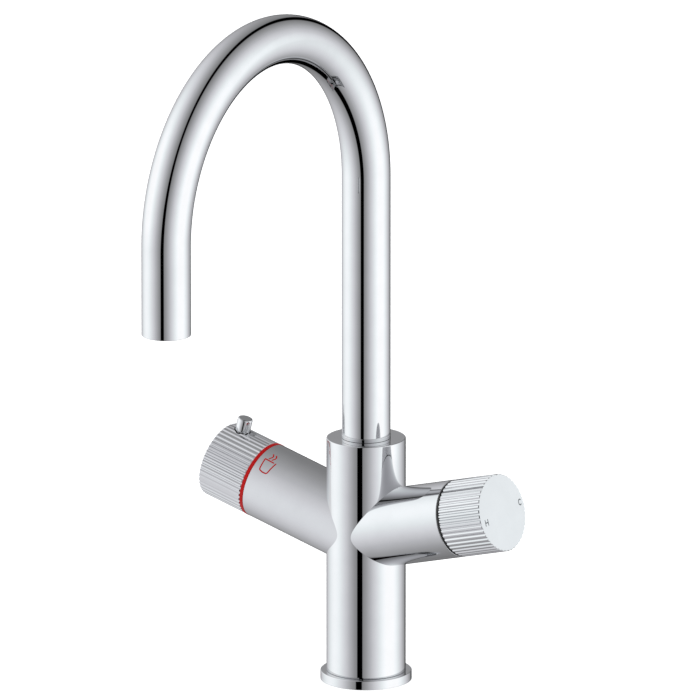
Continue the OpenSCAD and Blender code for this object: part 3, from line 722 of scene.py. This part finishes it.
@dataclass(frozen=True)
class TapBody:
    """The cast column with both arms, chromed all over."""

    column_r: float = 23.0
    column_top: float = 145.0
    top_edge: float = 0.55
    foot_z: float = 5.5
    foot_edge: float = 0.3
    spigot_r: float = 20.5
    spigot_z: float = 0.5
    recess_r: float = 19.0
    recess_top: float = 30.0
    bore_r: float = 12.5
    bore_floor: float = 103.0
    inner_edge: float = 0.2
    arm_r: float = ARM_R
    arm_mouth_r: float = 19.0
    mouth_edges: Pair = (0.35, 0.1)
    seat_t: float = 30.0
    screw: Window = Window(math.pi / 2, 124.0, 2.55, 24)
    screw_floor: float = 15.0
    back_steps: int = 4
    front_steps: int = 23

    def arm_root(self, side: Side, phi: Array) -> Array:
        """Where an arm's straight line at an angle leaves the column.

        A point of the arm has y = a sin phi and |x| = t cos s + (side) a cos phi sin s,
        and it is on the column where |x| = sqrt(R^2 - y^2), which gives t.

        Args:
            side: the arm.
            phi: angles round the arm.

        Returns:
            Distances along the arm's axis.
        """
        out = np.sqrt(self.column_r**2 - (self.arm_r * np.sin(phi)) ** 2)
        lean = side.value * self.arm_r * np.cos(phi) * math.sin(ARM_SLOPE)
        return (out - lean) / math.cos(ARM_SLOPE)

    def column_grid(self) -> tuple[Array, Array, Array]:
        """Angles of the column's straight lines, and where the arms cut each of them.

        Each arm's root is met at the same angles as the arm's own lines, so both
        surfaces share their vertices. Between the arms the two heights are equal, and
        the back has the lines of the screw hole's rim.

        Returns:
            Angles, lower heights and upper heights.
        """
        half = AROUND // 2
        psi = -np.pi / 2 + np.pi * np.arange(half + 1) / half
        edge = math.asin(self.arm_r / self.column_r)
        rim = self.screw.columns(Outline(self.column_r))
        before = np.linspace(edge, rim[0], self.back_steps + 1)[1:-1]
        after = np.linspace(rim[-1], np.pi - edge, self.back_steps + 1)[1:-1]
        back = np.r_[before, rim, after]
        front = np.linspace(np.pi + edge, 2 * np.pi - edge, self.front_steps + 1)[1:-1]
        angles, low, high = [], [], []
        for side, turn, gap in ((Side.MIXER, 0.0, back), (Side.BOILING, np.pi, front)):
            axes, line = arm_axes(side), psi[:: side.value]
            lines = (line, np.pi - line)
            cuts = [axes.place(self.arm_r, a, self.arm_root(side, a)) for a in lines]
            z = np.stack([cut[:, 2] for cut in cuts])
            swing = np.arcsin(self.arm_r * np.sin(line) / self.column_r)
            split = np.full(len(gap), z[0, -1])
            angles += [turn + side.value * swing, gap]
            low += [z.min(0), split]
            high += [z.max(0), split]
        return np.concatenate(angles), np.concatenate(low), np.concatenate(high)

    def build(self) -> None:
        """Builds the column's wall, ends and bores, the arms, and the screw's hole."""
        shell = Shell()
        phi, low, high = self.column_grid()
        span = self.screw.span(Outline(self.column_r), phi)
        rise = np.zeros_like(phi)
        rise[span] = self.screw.rises()
        bands = (
            (self.foot_z + self.foot_edge, low),
            (high, self.screw.t - rise),
            (self.screw.t + rise, self.column_top - self.top_edge),
        )
        out = UPRIGHT.normals(1.0, 0.0, 0.0, phi)
        for ends in bands:
            shell.strip(UPRIGHT, [(self.column_r, phi, t) for t in ends], out)
        rim = phi[span]
        across = self.column_r * np.sin(rim - self.screw.phi)
        flat = self.screw.phi + np.arctan2(across, self.screw_floor)
        outer = (np.full_like(rim, self.column_r), rim)
        inner = (np.hypot(across, self.screw_floor), flat)
        self.screw.wall(shell, UPRIGHT, outer, inner, cap=True)
        self.column_ends(shell, phi)
        for side in Side:
            self.arm(shell, side)
        add_piece("column_and_arms", shell, "column", CHROME, ["tap_body"])

    def column_ends(self, shell: Shell, phi: Array) -> None:
        """Adds the top with the spout's bore, and the foot with its spigot and recess.

        Args:
            shell: the shell to add to.
            phi: angles of the column's straight lines.
        """
        top = [
            (self.column_r, self.column_top - self.top_edge),
            (self.column_r, self.column_top, self.top_edge),
            (self.bore_r, self.column_top, self.inner_edge),
            (self.bore_r, self.bore_floor), (0, self.bore_floor),
        ]
        foot = [
            (0, self.recess_top), (self.recess_r, self.recess_top),
            (self.recess_r, self.spigot_z, self.inner_edge),
            (self.spigot_r, self.spigot_z, self.inner_edge),
            (self.spigot_r, self.foot_z),
            (self.column_r - self.foot_edge, self.foot_z),
            (self.column_r, self.foot_z + self.foot_edge),
        ]
        shell.turned(UPRIGHT, profile_rows(top)[1:], phi)
        shell.turned(UPRIGHT, profile_rows(foot), phi)

    def arm(self, shell: Shell, side: Side) -> None:
        """Adds one arm: its wall from the column outwards, its mouth and its valve seat.

        Args:
            shell: the shell to add to.
            side: the arm.
        """
        axes, phi, sizes = arm_axes(side), circle(AROUND), ARMS[side]
        shoulder = sizes.end - sizes.cup_depth
        outer_edge, mouth_edge = self.mouth_edges
        corners = [
            (self.arm_r, sizes.end - 1),
            (self.arm_r, sizes.end, outer_edge),
            (self.arm_mouth_r, sizes.end, mouth_edge),
            (self.arm_mouth_r, shoulder), (sizes.valve_bore, shoulder),
            (sizes.valve_bore, self.seat_t), (0, self.seat_t),
        ]
        rows = profile_rows(corners)[1:]
        ends = (self.arm_root(side, phi), rows[0, 1])
        wall = [(self.arm_r, phi, t) for t in ends]
        shell.strip(axes, wall, axes.normals(1.0, 0.0, 0.0, phi))
        shell.turned(axes, rows, phi)


@dataclass(frozen=True)
class BaseFlange:
    """Round foot ring of the column, spun and chromed."""

    outer_r: float = 26.5
    height: float = 5.5
    inner_r: float = 20.55
    edge: float = 0.45
    foot_edge: float = 0.25
    groove: Triple = (22.0, 25.0, 1.5)

    def build(self) -> None:
        """Builds the ring with its rounded upper edge and the gasket's groove."""
        g0, g1, depth = self.groove
        corners = [
            (self.inner_r, 0), (g0, 0), (g0, depth), (g1, depth), (g1, 0),
            (self.outer_r, 0, self.foot_edge),
            (self.outer_r, self.height, self.edge), (self.inner_r, self.height),
        ]
        shell = turned(UPRIGHT, profile_rows(corners, closed=True))
        add_piece("foot_ring", shell, "column", CHROME, ["base_flange"])


@dataclass(frozen=True)
class EndRing:
    """Ring between an arm's end and its knob, with a spigot in the arm's mouth."""

    side: Side
    width: float
    outer_r: float
    spigot_r: float = 18.95
    spigot_h: float = 2.7
    spigot_edge: float = 0.2
    bore_r: float = 17.8
    edge: float = 0.12

    def build(self, name: str, node: str, finish: Finish) -> None:
        """Builds the ring.

        Args:
            name: the piece's name.
            node: the CAD node it stands for.
            finish: its material.
        """
        t0 = ARMS[self.side].end
        corners = [
            (self.bore_r, t0 - self.spigot_h),
            (self.spigot_r, t0 - self.spigot_h, self.spigot_edge),
            (self.spigot_r, t0),
            (self.outer_r, t0, self.edge),
            (self.outer_r, t0 + self.width, self.edge),
            (self.bore_r, t0 + self.width),
        ]
        shell = turned(arm_axes(self.side), profile_rows(corners, closed=True))
        add_piece(name, shell, "column", finish, [node])


# ---- knobs ----


@dataclass(frozen=True)
class FlutedKnob:
    """Hollow fluted knob with a flat end, turned from bar and chromed.

    Attributes:
        boss: whether a tube round the first hole guides a button.
        boss_r: inner and outer radius of that tube.
        boss_from_axis: where the tube starts and ends, from the arm's axis.
        face_r: radius of a ring of vertices on the flat end.
        fade: angle over which the bore's columns return to even steps, in degrees.
    """

    side: Side
    start: float
    outline: FlutedOutline
    windows: tuple[Window, ...]
    boss: bool = False
    length: float = 29.7
    bore_r: float = 19.0
    end_wall: float = 2.6
    edge_in: float = 0.28
    edge_along: float = 0.48
    face_r: float = 18.0
    fade: float = 40.0
    boss_r: Pair = (4.5, 6.2)
    boss_from_axis: Pair = (13.6, 18.2)
    boss_around: int = 64

    def columns(self) -> Array:
        """Columns of the wall, where each hole's span has the rim's own columns instead.

        Returns:
            Ascending angles, once round.
        """
        phi, near = self.outline.columns(), 1e-3  # radians that keep two columns apart
        for window in self.windows:
            rim = window.columns(self.outline)
            keep = (phi < rim[0] - near) | (phi > rim[-1] + near)
            phi = np.sort(np.r_[phi[keep], rim])
        return phi

    def inner_angle(self, phi: Array) -> Array:
        """Angles of the bore's columns, spread so that a hole's rims face each other.

        At a rim the bore's angle solves bore_r sin(a) = r(phi) sin(phi), measured from
        the hole, and beyond it the difference fades out.

        Args:
            phi: angles of the outer wall's columns.

        Returns:
            Angles of the bore's columns.
        """
        inner, fade = phi.copy(), math.radians(self.fade)
        for window in self.windows:
            away = phi - window.phi
            edge = window.columns(self.outline)[-1] - window.phi
            offset = self.outline.radii(phi)[0] * np.sin(away)
            solved = np.arcsin(np.clip(offset / self.bore_r, -1, 1))
            grow = math.asin(window.rho / self.bore_r) - edge
            share = np.clip((fade - np.abs(away)) / (fade - edge), 0, 1)
            beyond = inner + np.sign(away) * grow * share
            inner = np.where(np.abs(away) <= edge + 1e-9, window.phi + solved, beyond)
        return inner

    def build(self, name: str, node: str, body: str) -> None:
        """Builds the fluted wall, its chamfers, the flat end, the bore and the holes.

        Args:
            name: the piece's name.
            node: the CAD node it stands for.
            body: the body it turns with.
        """
        axes, shell, phi = arm_axes(self.side), Shell(), self.columns()
        r, slope = self.outline.radii(phi)
        inner, bore = self.inner_angle(phi), np.full_like(phi, self.bore_r)
        t0, t1 = self.start, self.start + self.length
        floor = t1 - self.end_wall
        edge_r = np.minimum(r, self.outline.radius - self.edge_in)
        bevel = (r - edge_r) * self.edge_along / self.edge_in
        low = np.full_like(phi, (t0 + t1) / 2)
        high = low.copy()
        for window in self.windows:
            span = window.span(self.outline, phi)
            beside = np.abs(phi - window.phi) < math.pi / 2
            low[beside] = high[beside] = window.t
            low[span] -= window.rises()
            high[span] += window.rises()
            rims = (r[span], phi[span]), (bore[span], inner[span])
            window.wall(shell, axes, *rims)
        out = axes.normals(r, -slope, 0.0, phi)
        for ends in ((t0 + bevel, low), (high, t1 - bevel)):
            shell.strip(axes, [(r, phi, t) for t in ends], out)
        back = axes.normals(-1.0, 0.0, 0.0, inner)
        for ends in ((t0, low), (high, floor)):
            shell.strip(axes, [(bore, inner, t) for t in ends], back)
        for t, way in ((t0, -1.0), (t1, 1.0)):
            slant = axes.normals(self.edge_along, 0.0, way * self.edge_in, phi)
            shell.strip(axes, [(r, phi, t - way * bevel), (edge_r, phi, t)], slant)
        face = np.asarray(axes.ez)
        shell.strip(axes, [(edge_r, phi, t0), (bore, inner, t0)], -face)
        shell.strip(axes, [(a, phi, t1) for a in (edge_r, self.face_r, 0.0)], face)
        shell.strip(axes, [(a, inner, floor) for a in (bore, 0.0)], -face)
        if self.boss:
            self.add_boss(shell, axes.across(self.windows[0].t))
        add_piece(name, shell, body, CHROME, [node])

    def add_boss(self, shell: Shell, own: Axes) -> None:
        """Adds the boss inside the knob that guides the button, as a short closed tube.

        Args:
            shell: the shell to add to.
            own: the frame of the button's hole.
        """
        (r0, r1), (t0, t1) = self.boss_r, self.boss_from_axis
        rows = profile_rows([(r0, t0), (r1, t0), (r1, t1), (r0, t1)], closed=True)
        shell.turned(own, rows, circle(self.boss_around))


@dataclass(frozen=True)
class LockButton:
    """Child-lock button with its stem, turned from bar and chromed."""

    t: float = 96.4
    stem_r: float = 1.6
    stem_tip: float = 7.6
    stem_edge: float = 0.3
    groove: Triple = (11.05, 11.75, 0.3)
    foot: float = 19.3
    foot_edge: float = 0.2
    top: float = 30.3
    radius: float = 4.4
    rounding: float = 0.9
    steps: int = 12
    around: int = 128

    def build(self) -> None:
        """Builds the stem with the circlip's groove and the button with its rounded top."""
        g0, g1, depth = self.groove
        corners = [
            (0, self.stem_tip),
            (self.stem_r, self.stem_tip, self.stem_edge),
            (self.stem_r, g0), (self.stem_r - depth, g0),
            (self.stem_r - depth, g1), (self.stem_r, g1), (self.stem_r, self.foot),
            (self.radius, self.foot, self.foot_edge),
            (self.radius, self.top, self.rounding), (0, self.top),
        ]
        own = arm_axes(Side.BOILING).across(self.t)
        shell = turned(own, profile_rows(corners, steps=self.steps), self.around)
        add_piece("button_cap", shell, "button", CHROME, ["lock_button"])


# ---- spout ----


@dataclass(frozen=True)
class SpoutFoot:
    """Collar at the spout's foot with its shank in the column."""

    bore_r: float = 8.0
    shank_r: float = 11.0
    shank_z: float = 103.4
    shank_edge: float = 0.3
    collar_r: float = 14.2
    collar_z: float = 145.4
    collar_edges: Pair = (0.08, 0.3)
    skirt_r: float = 13.95
    skirt_z: float = 145.12
    tube_z: float = 147.1
    spigot_r: float = 12.75
    spigot_h: float = 14.0
    around: int = 192

    def build(self) -> None:
        """Builds the shank, the collar and the spigot inside the tube."""
        lower_edge, upper_edge = self.collar_edges
        corners = [
            (self.bore_r, self.shank_z),
            (self.shank_r, self.shank_z, self.shank_edge),
            (self.shank_r, self.collar_z),
            (self.skirt_r, self.collar_z),
            (self.skirt_r, self.skirt_z),
            (self.collar_r, self.skirt_z, lower_edge),
            (self.collar_r, self.tube_z, upper_edge),
            (self.spigot_r, self.tube_z),
            (self.spigot_r, self.tube_z + self.spigot_h),
            (self.bore_r, self.tube_z + self.spigot_h),
        ]
        shell = turned(UPRIGHT, profile_rows(corners, closed=True), self.around)
        add_piece("spout_collar", shell, "spout", CHROME, ["spout_foot"])


@dataclass(frozen=True)
class Gooseneck:
    """The spout's bent tube: up, over a half circle and down to the outlet."""

    outer_r: float = 14.1
    inner_r: float = 12.8
    reach: float = 199.6
    centre_z: float = 301.1
    foot_z: float = 147.1
    outlet_z: float = 249.6
    rim: float = 0.35
    around: int = 144
    outer_steps: int = 220
    inner_steps: int = 88
    rim_steps: int = 6

    def path(self, s: Array) -> tuple[Array, Array, Array]:
        """Centre, outward direction and travel direction at each length along the path.

        The path rises along the column's axis, then turns by b = (s - rise) / R about
        the arch's centre, then falls. The outward direction is (0, cos b, sin b) and
        the travel direction (0, -sin b, cos b).

        Args:
            s: lengths from the tube's foot.

        Returns:
            Three arrays with a last axis of three.
        """
        rise, radius = self.centre_z - self.foot_z, self.reach / 2
        b = np.clip((s - rise) / radius, 0, np.pi)
        before, past = np.minimum(s - rise, 0), np.maximum(s - rise - np.pi * radius, 0)
        zero = np.zeros_like(s)
        out = np.stack([zero, np.cos(b), np.sin(b)], -1)
        on = np.stack([zero, -np.sin(b), np.cos(b)], -1)
        middle = np.array([0.0, -radius, self.centre_z])
        return middle + radius * out + (before + past)[:, None] * on, out, on

    def build(self) -> None:
        """Builds the outer wall, the rounded rim, the inner wall and the foot's rim."""
        rise, bend = self.centre_z - self.foot_z, np.pi * self.reach / 2
        total = rise + bend + self.centre_z - self.outlet_z
        corners = [
            (self.outer_r, total - 2),
            (self.outer_r, total, self.rim),
            (self.inner_r, total, self.rim),
            (self.inner_r, total - 2),
        ]
        lip = profile_rows(corners, steps=self.rim_steps)[1:-1]  # the roundings alone
        n, m = self.outer_steps, self.inner_steps
        outer = np.r_[0.0, rise + bend * np.arange(n + 1) / n]
        inner = np.r_[rise + bend * np.arange(m + 1)[::-1] / m, 0.0]
        walls = [
            np.stack(np.broadcast_arrays(r, s, way, 0.0), 1)
            for r, s, way in ((self.outer_r, outer, 1.0), (self.inner_r, inner, -1.0))
        ]
        foot = [(r, 0.0, 0.0, -1.0) for r in (self.inner_r, self.outer_r)]
        rows = np.concatenate([walls[0], lip, walls[1], foot])
        centre, out, on = (part[:, None, :] for part in self.path(rows[:, 1]))
        r, _, n_r, n_s = rows.T[..., None, None]
        phi = circle(self.around)[None, :, None]
        radial = np.cos(phi) * out + np.sin(phi) * np.array([1.0, 0.0, 0.0])
        shell = Shell()
        shell.grid(centre + r * radial, n_r * radial + n_s * on)
        add_piece("gooseneck", shell, "spout", CHROME, ["spout_tube"])


# ---- marks ----


@dataclass(frozen=True)
class Stroke:
    """A filled line on a surface, with round ends and a slightly crowned top.

    Attributes:
        points: the line's points (u, v).
        corner: length over which its corners are rounded.
        pitch: distance between points along it.
        caps: places of the rows that close an end, in half widths from it.
    """

    points: tuple[Pair, ...]
    corner: float = 0.0
    pitch: float = 0.12
    caps: tuple[float, ...] = (1.0, 0.92, 0.71, 0.38)
    around: int = 12

    def centreline(self) -> Array:
        """Even points along the line, its corners rounded by a running mean of that length.

        Returns:
            An array of points (u, v).
        """
        p = np.array(self.points, float)
        gone = np.r_[0, np.cumsum(np.hypot(*np.diff(p, axis=0).T))]
        count = max(8, int(gone[-1] / self.pitch))
        s = np.linspace(0, gone[-1], count)
        line = np.stack([np.interp(s, gone, p[:, k]) for k in (0, 1)], 1)
        width = int(self.corner / (gone[-1] / count)) // 2
        if width > 0:
            ahead = 2 * line[0] - line[1 : width + 1][::-1]
            behind = 2 * line[-1] - line[-width - 1 : -1][::-1]
            padded = np.concatenate([ahead, line, behind])
            mean = np.ones(2 * width + 1) / (2 * width + 1)
            line = np.stack([np.convolve(padded[:, k], mean, "valid") for k in (0, 1)], 1)
        return line

    def surface(self, width: float, crown: float) -> tuple[Array, Array]:
        """Closed grid of the stroke: an ellipse carried along the line, shrinking at its ends.

        A row that lies c half widths past an end has the ellipse scaled by
        sqrt(1 - c^2), so that the ends are round and closed.

        Args:
            width: the line's width.
            crown: how far it stands above and below its surface.

        Returns:
            Points (u, v, h) and normals on a grid.
        """
        line, half, caps = self.centreline(), width / 2, np.array(self.caps)
        way = np.gradient(line, axis=0)
        way /= np.linalg.norm(way, axis=1)[:, None]
        at = np.clip(np.arange(-len(caps), len(line) + len(caps)), 0, len(line) - 1)
        tip = np.r_[-caps, np.zeros(len(line)), caps[::-1]][:, None]
        scale = np.sqrt(1 - tip**2)
        along = way[at][:, None, :]
        centre = line[at][:, None, :] + along * half * tip[..., None]
        across = np.stack([-along[..., 1], along[..., 0]], -1)
        a = circle(self.around)[None, :]
        flat = centre + (half * scale * np.cos(a))[..., None] * across
        points = np.concatenate([flat, (crown * scale * np.sin(a))[..., None]], -1)
        side = (np.cos(a) * crown * scale)[..., None] * across
        side = side + (tip * crown)[..., None] * along
        normals = np.concatenate([side, (np.sin(a) * half * scale + 1e-9)[..., None]], -1)
        return points, normals / np.linalg.norm(normals, axis=-1, keepdims=True)


@dataclass(frozen=True)
class BoilingMark:
    """Red cup with two curls of steam on the boiling arm, beside the red ring."""

    arm_r: float = ARM_R
    line: float = 0.8
    crown: float = 0.02
    cup: tuple[Pair, ...] = (
        (69.7, 13.3), (68.8, 20.8), (66.2, 21.6), (63.2, 21.4), (61.9, 13.5),
    )
    brim: tuple[Pair, ...] = ((69.5, 13.3), (63.5, 13.5))
    curl: tuple[Pair, ...] = (
        (0.1, 12.2), (-0.2, 11.4), (-0.9, 10.6), (-0.9, 9.5), (0.1, 8.1),
    )
    curls_at: Pair = (67.5, 65.3)
    corners: Pair = (2.0, 1.0)

    def strokes(self) -> list[Stroke]:
        """The cup, its brim and the curls of steam.

        Returns:
            Lines in (distance along the arm, arc from the top towards the front).
        """
        cup_corner, curl_corner = self.corners
        curls = [
            Stroke(tuple((t + u, v) for u, v in self.curl), curl_corner)
            for t in self.curls_at
        ]
        return [Stroke(self.cup, cup_corner), Stroke(self.brim), *curls]

    def build(self) -> None:
        """Wraps the strokes round the arm: angle = -arc / radius, radius = arm_r + h."""
        axes, shell = arm_axes(Side.BOILING), Shell()
        for stroke in self.strokes():
            p, n = stroke.surface(self.line, self.crown)
            phi = -p[..., 1] / self.arm_r
            shell.grid(
                axes.place(self.arm_r + p[..., 2], phi, p[..., 0]),
                axes.normals(n[..., 2], -n[..., 1], n[..., 0], phi),
            )
        add_piece("boiling_mark", shell, "column", ENAMEL)


@dataclass(frozen=True)
class HeatLetters:
    """The letters H and C on the mixer knob's flat end.

    Attributes:
        hot: middle of the H, (down, right) from the knob's axis.
        cold: middle of the C.
        bow: angles where the C's line starts and ends, in degrees.
    """

    end_t: float = 99.0
    line: float = 0.66
    crown: float = 0.015
    height: float = 3.3
    width: float = 2.6
    hot: Pair = (2.37, -16.6)
    cold: Pair = (-2.1, 18.75)
    bow: Pair = (48.0, 312.0)
    bow_points: int = 40

    def strokes(self) -> list[Stroke]:
        """The three lines of the H and the bow of the C.

        Returns:
            Lines in (down, right) on the knob's end.
        """
        h, w = self.height / 2, self.width / 2
        (x, y), (cx, cy) = self.hot, self.cold
        ends = (
            ((x - h, y - w), (x + h, y - w)),
            ((x - h, y + w), (x + h, y + w)),
            ((x, y - w), (x, y + w)),
        )
        a = np.radians(np.linspace(*self.bow, self.bow_points))
        bow = zip((cx - h * np.sin(a)).tolist(), (cy + w * np.cos(a)).tolist())
        return [Stroke(line) for line in (*ends, tuple(bow))]

    def build(self) -> None:
        """Lays the strokes on the end face."""
        axes, shell = arm_axes(Side.MIXER), Shell()
        origin = np.asarray(axes.origin)
        for stroke in self.strokes():
            p, n = (np.moveaxis(part, -1, 0) for part in stroke.surface(self.line, self.crown))
            points = origin + axes.vectors(p[0], p[1], self.end_t + p[2])
            shell.grid(points, axes.vectors(*n))
        add_piece("heat_letters", shell, "mixer_handle", ETCH)


# ---- studio ----


def sine(degrees: float) -> float:
    """Sine of an angle in degrees."""
    return math.sin(math.radians(degrees))


def cosine(degrees: float) -> float:
    """Cosine of an angle in degrees."""
    return math.cos(math.radians(degrees))


@dataclass(frozen=True)
class Studio:
    """White sweep, the panels that the chrome mirrors, and the camera.

    The chrome mirrors two large diffusers that meet in a dark seam. The seam lies on a
    plane through the tap, and the panels brighten with the angle away from it. The wall
    behind the tap is darker, with a dark cloth on it, and a small card is brighter. All
    angles are in degrees.

    Attributes:
        seam_normal: square to the seam's plane.
        chrome_colour: the chrome's own colour, which the panels' levels are divided by.
        levels: the mirrored colour at each angle from the seam.
        seam_low: a height d.z, and the seam's half width there.
        seam_high: the same higher up.
        seam_blur: half the width of the seam's soft edge.
        back_levels: brightness by the cosine of the angle from the line of sight.
        card: the card's direction.
        card_size: angles from there at which the card has ended, and begins to fade.
        flag_turn: how far the cloth lies to the right of the line of sight.
        flag_half: half the cloth's width.
        floor_rings: radii of the floor's rings of vertices.
    """

    seam_normal: Triple = (0.9412, 0.3156, -0.120)
    chrome_colour: str = "#C8CACC"
    levels: tuple[tuple[float, str], ...] = (
        (0.0, "#6A6A6B"), (6.0, "#7B7B7C"), (10.0, "#878788"), (15.0, "#929293"),
        (20.0, "#9E9EA0"), (25.0, "#ABABAD"), (30.0, "#B5B5B8"), (35.0, "#C2C2C5"),
        (40.0, "#CCCCCF"), (45.0, "#D5D6D9"), (50.0, "#DDDFE1"), (55.0, "#E5E9EA"),
        (60.0, "#EDF1F2"), (65.0, "#F5F8F9"), (70.0, "#FBFDFE"), (75.0, "#FFFFFF"),
    )
    seam_low: Pair = (-0.3, 7.5)
    seam_high: Pair = (0.7, 4.4)
    seam_blur: float = 0.7
    back_levels: tuple[Pair, ...] = (
        (0.0, 0.99), (0.32, 0.96), (0.55, 0.92), (0.68, 0.88), (0.84, 0.81),
        (0.93, 0.7), (1.0, 0.5),
    )
    card: Triple = (0.6054, 0.7939, 0.0547)
    card_size: Pair = (14.0, 7.0)
    card_gain: float = 1.06
    flag_turn: float = 7.5
    flag_half: float = 18.0
    flag_blur: float = 2.5
    flag_level: float = 0.45
    floor_rings: Triple = (3000.0, 400.0, 0.0)
    floor_around: int = 96
    floor_grey: float = 0.8
    floor_glow: float = 0.7
    azimuth: float = 34.76
    elevation: float = 14.8
    distance: float = 11354.0
    focus_z: float = 220.0
    aim_right: float = -9.32
    aim_up: float = -22.13
    sensor: float = 36.0
    lens_over_sensor: float = 28.067
    clip: Pair = (1.0, 60.0)

    def away(self, right: float = 0.0) -> Triple:
        """Direction of the camera's line of sight, or of one beside it.

        Args:
            right: degrees turned to the right.

        Returns:
            A unit vector away from the camera.
        """
        a = math.radians(self.azimuth) - math.radians(right)
        level, down = cosine(self.elevation), sine(self.elevation)
        return (-math.sin(a) * level, math.cos(a) * level, -down)

    def world(self) -> None:
        """Makes the surroundings that the chrome mirrors.

        Brightness is levels(|d . seam normal|), black within the seam's half width, which
        narrows with the height d.z. It is dimmed by back_levels(d . line of sight), and
        to flag_level on the cloth, where d is within flag_half of the cloth's middle. The
        card is card_gain brighter. The camera itself sees plain white.
        """
        world = bpy.data.worlds.new("studio")
        bpy.context.scene.world = world
        world.use_nodes = True
        tree = world.node_tree
        tree.nodes.clear()
        where = add_node(tree, "TexCoord").outputs["Generated"]
        ways = (self.seam_normal, self.away(), self.away(self.flag_turn), self.card)
        across, behind, to_flag, to_card = (
            add_node(tree, "VectorMath", (where, way), operation="DOT_PRODUCT").outputs[1]
            for way in ways
        )
        off = add_node(tree, "Math", (across,), operation="ABSOLUTE")
        colour = add_node(tree, "ValToRGB", (off,))
        set_ramp(colour, [(sine(t), linear(c)) for t, c in self.levels])
        height = add_node(tree, "SeparateXYZ", (where,)).outputs["Z"]
        (low_z, low), (high_z, high) = self.seam_low, self.seam_high
        spread = (height, low_z, high_z, sine(low), sine(high))
        half_width = add_node(tree, "MapRange", spread)
        past = add_node(tree, "Math", (off, half_width), operation="SUBTRACT")
        blur = sine(self.seam_blur)
        dim = add_node(tree, "ValToRGB", (behind,))
        set_ramp(dim, [(p, (v, v, v, 1.0)) for p, v in self.back_levels])
        flag_out, flag_in = self.flag_half + self.flag_blur, self.flag_half - self.flag_blur
        card_out, card_in = self.card_size
        strength = add_node(tree, "MapRange", (past, -blur, blur))
        soft_edges = (
            (to_flag, cosine(flag_out), cosine(flag_in), 1.0, self.flag_level),
            (to_card, cosine(card_out), cosine(card_in), 1.0, self.card_gain),
        )
        shades = [add_node(tree, "MapRange", edge) for edge in soft_edges]
        chrome = sum(linear(self.chrome_colour)[:3]) / 3
        for factor in (dim, *shades, 1 / chrome):
            strength = add_node(tree, "Math", (strength, factor), operation="MULTIPLY")
        panels = add_node(tree, "Background", (colour, strength))
        white = add_node(tree, "Background", ((1, 1, 1, 1),))
        seen = add_node(tree, "LightPath").outputs["Is Camera Ray"]
        mix = add_node(tree, "MixShader", (seen, panels, white))
        add_node(tree, "OutputWorld", (mix,))

    def floor(self) -> None:
        """Lays a white floor that keeps the tap's shadow and isn't mirrored in the chrome.

        It is clear from below, so that the tap's underside can be looked at.
        """
        rows = np.array([(r, 0, 0, 1) for r in self.floor_rings])
        mesh = turned(UPRIGHT, rows, self.floor_around).mesh("floor")
        floor = bpy.data.objects.new("floor", mesh)
        bpy.context.scene.collection.objects.link(floor)
        floor.visible_glossy = False
        floor.visible_diffuse = False
        material = bpy.data.materials.new("white_sweep_paper")
        material.use_nodes = True
        tree = material.node_tree
        tree.nodes.clear()
        paper = (self.floor_grey, self.floor_grey, self.floor_grey, 1.0)
        lit = add_node(tree, "BsdfDiffuse", (paper,))
        glow = add_node(tree, "Emission", ((1, 1, 1, 1), self.floor_glow))
        both = add_node(tree, "AddShader", (lit, glow))
        below = add_node(tree, "NewGeometry").outputs["Backfacing"]
        clear = add_node(tree, "BsdfTransparent")
        sided = add_node(tree, "MixShader", (below, both, clear))
        add_node(tree, "OutputMaterial", (sided,))
        mesh.materials.append(material)

    def camera(self) -> None:
        """Sets the camera at the photograph's angle, aimed so that the tap lies as in it."""
        a, back = math.radians(self.azimuth), -Vector(self.away())
        right = Vector((math.cos(a), math.sin(a), 0))
        up = back.cross(right)
        focus = Vector((0, 0, self.focus_z))
        place = focus + back * self.distance
        aim = focus + right * self.aim_right + up * self.aim_up
        data = bpy.data.cameras.new("camera")
        data.sensor_width = self.sensor
        data.lens = self.sensor * self.lens_over_sensor
        data.clip_start, data.clip_end = self.clip
        camera = bpy.data.objects.new("camera", data)
        bpy.context.scene.collection.objects.link(camera)
        camera.location = place * MM
        camera.rotation_euler = (aim - place).to_track_quat("-Z", "Y").to_euler()
        bpy.context.scene.camera = camera

    def build(self) -> None:
        """Sets up the surroundings, the floor, the camera and the view transform."""
        self.world()
        self.floor()
        self.camera()
        bpy.context.scene.view_settings.view_transform = "Standard"


# ---- assembly ----


def dress_nodes() -> None:
    """Gives every CAD node the finish of its real material."""
    finishes = {name: finish for finish, names in NODE_FINISHES.items() for name in names}
    for name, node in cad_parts.items():
        material = finishes[name].material()
        if not node.material_slots:
            node.data.materials.append(material)
        for slot in node.material_slots:
            slot.material = material
        LOG.info("%s: %s", name, material.name)


def main() -> None:
    """Builds the tap's pieces and the studio."""
    logging.basicConfig(level=logging.INFO, format="%(name)s: %(message)s")
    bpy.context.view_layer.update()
    dress_nodes()
    Studio().build()
    TapBody().build()
    BaseFlange().build()
    SpoutFoot().build()
    Gooseneck().build()
    EndRing(Side.MIXER, 1.05, 22.4).build("mixer_dark_ring", "mixer_glide_ring", ACETAL)
    EndRing(Side.BOILING, 2.2, 22.6).build("boiling_red_ring", "boiling_ring", ENAMEL)
    holes = (Window(0.0, 92.4, 1.55, 16),)
    mixer = FlutedKnob(Side.MIXER, 69.3, FlutedOutline(ARM_R, phase=1.83), holes)
    mixer.build("mixer_grip", "mixer_knob", "mixer_handle")
    holes = (Window(0.0, 96.4, 5.0), Window(math.pi, 98.8, 1.55, 16))
    outline = FlutedOutline(ARM_R, phase=1.36)
    boiling = FlutedKnob(Side.BOILING, 75.7, outline, holes, boss=True)
    boiling.build("boiling_grip", "boiling_knob", "boiling_handle")
    LockButton().build()
    BoilingMark().build()
    HeatLetters().build()


if __name__ == "__main__":
    main()
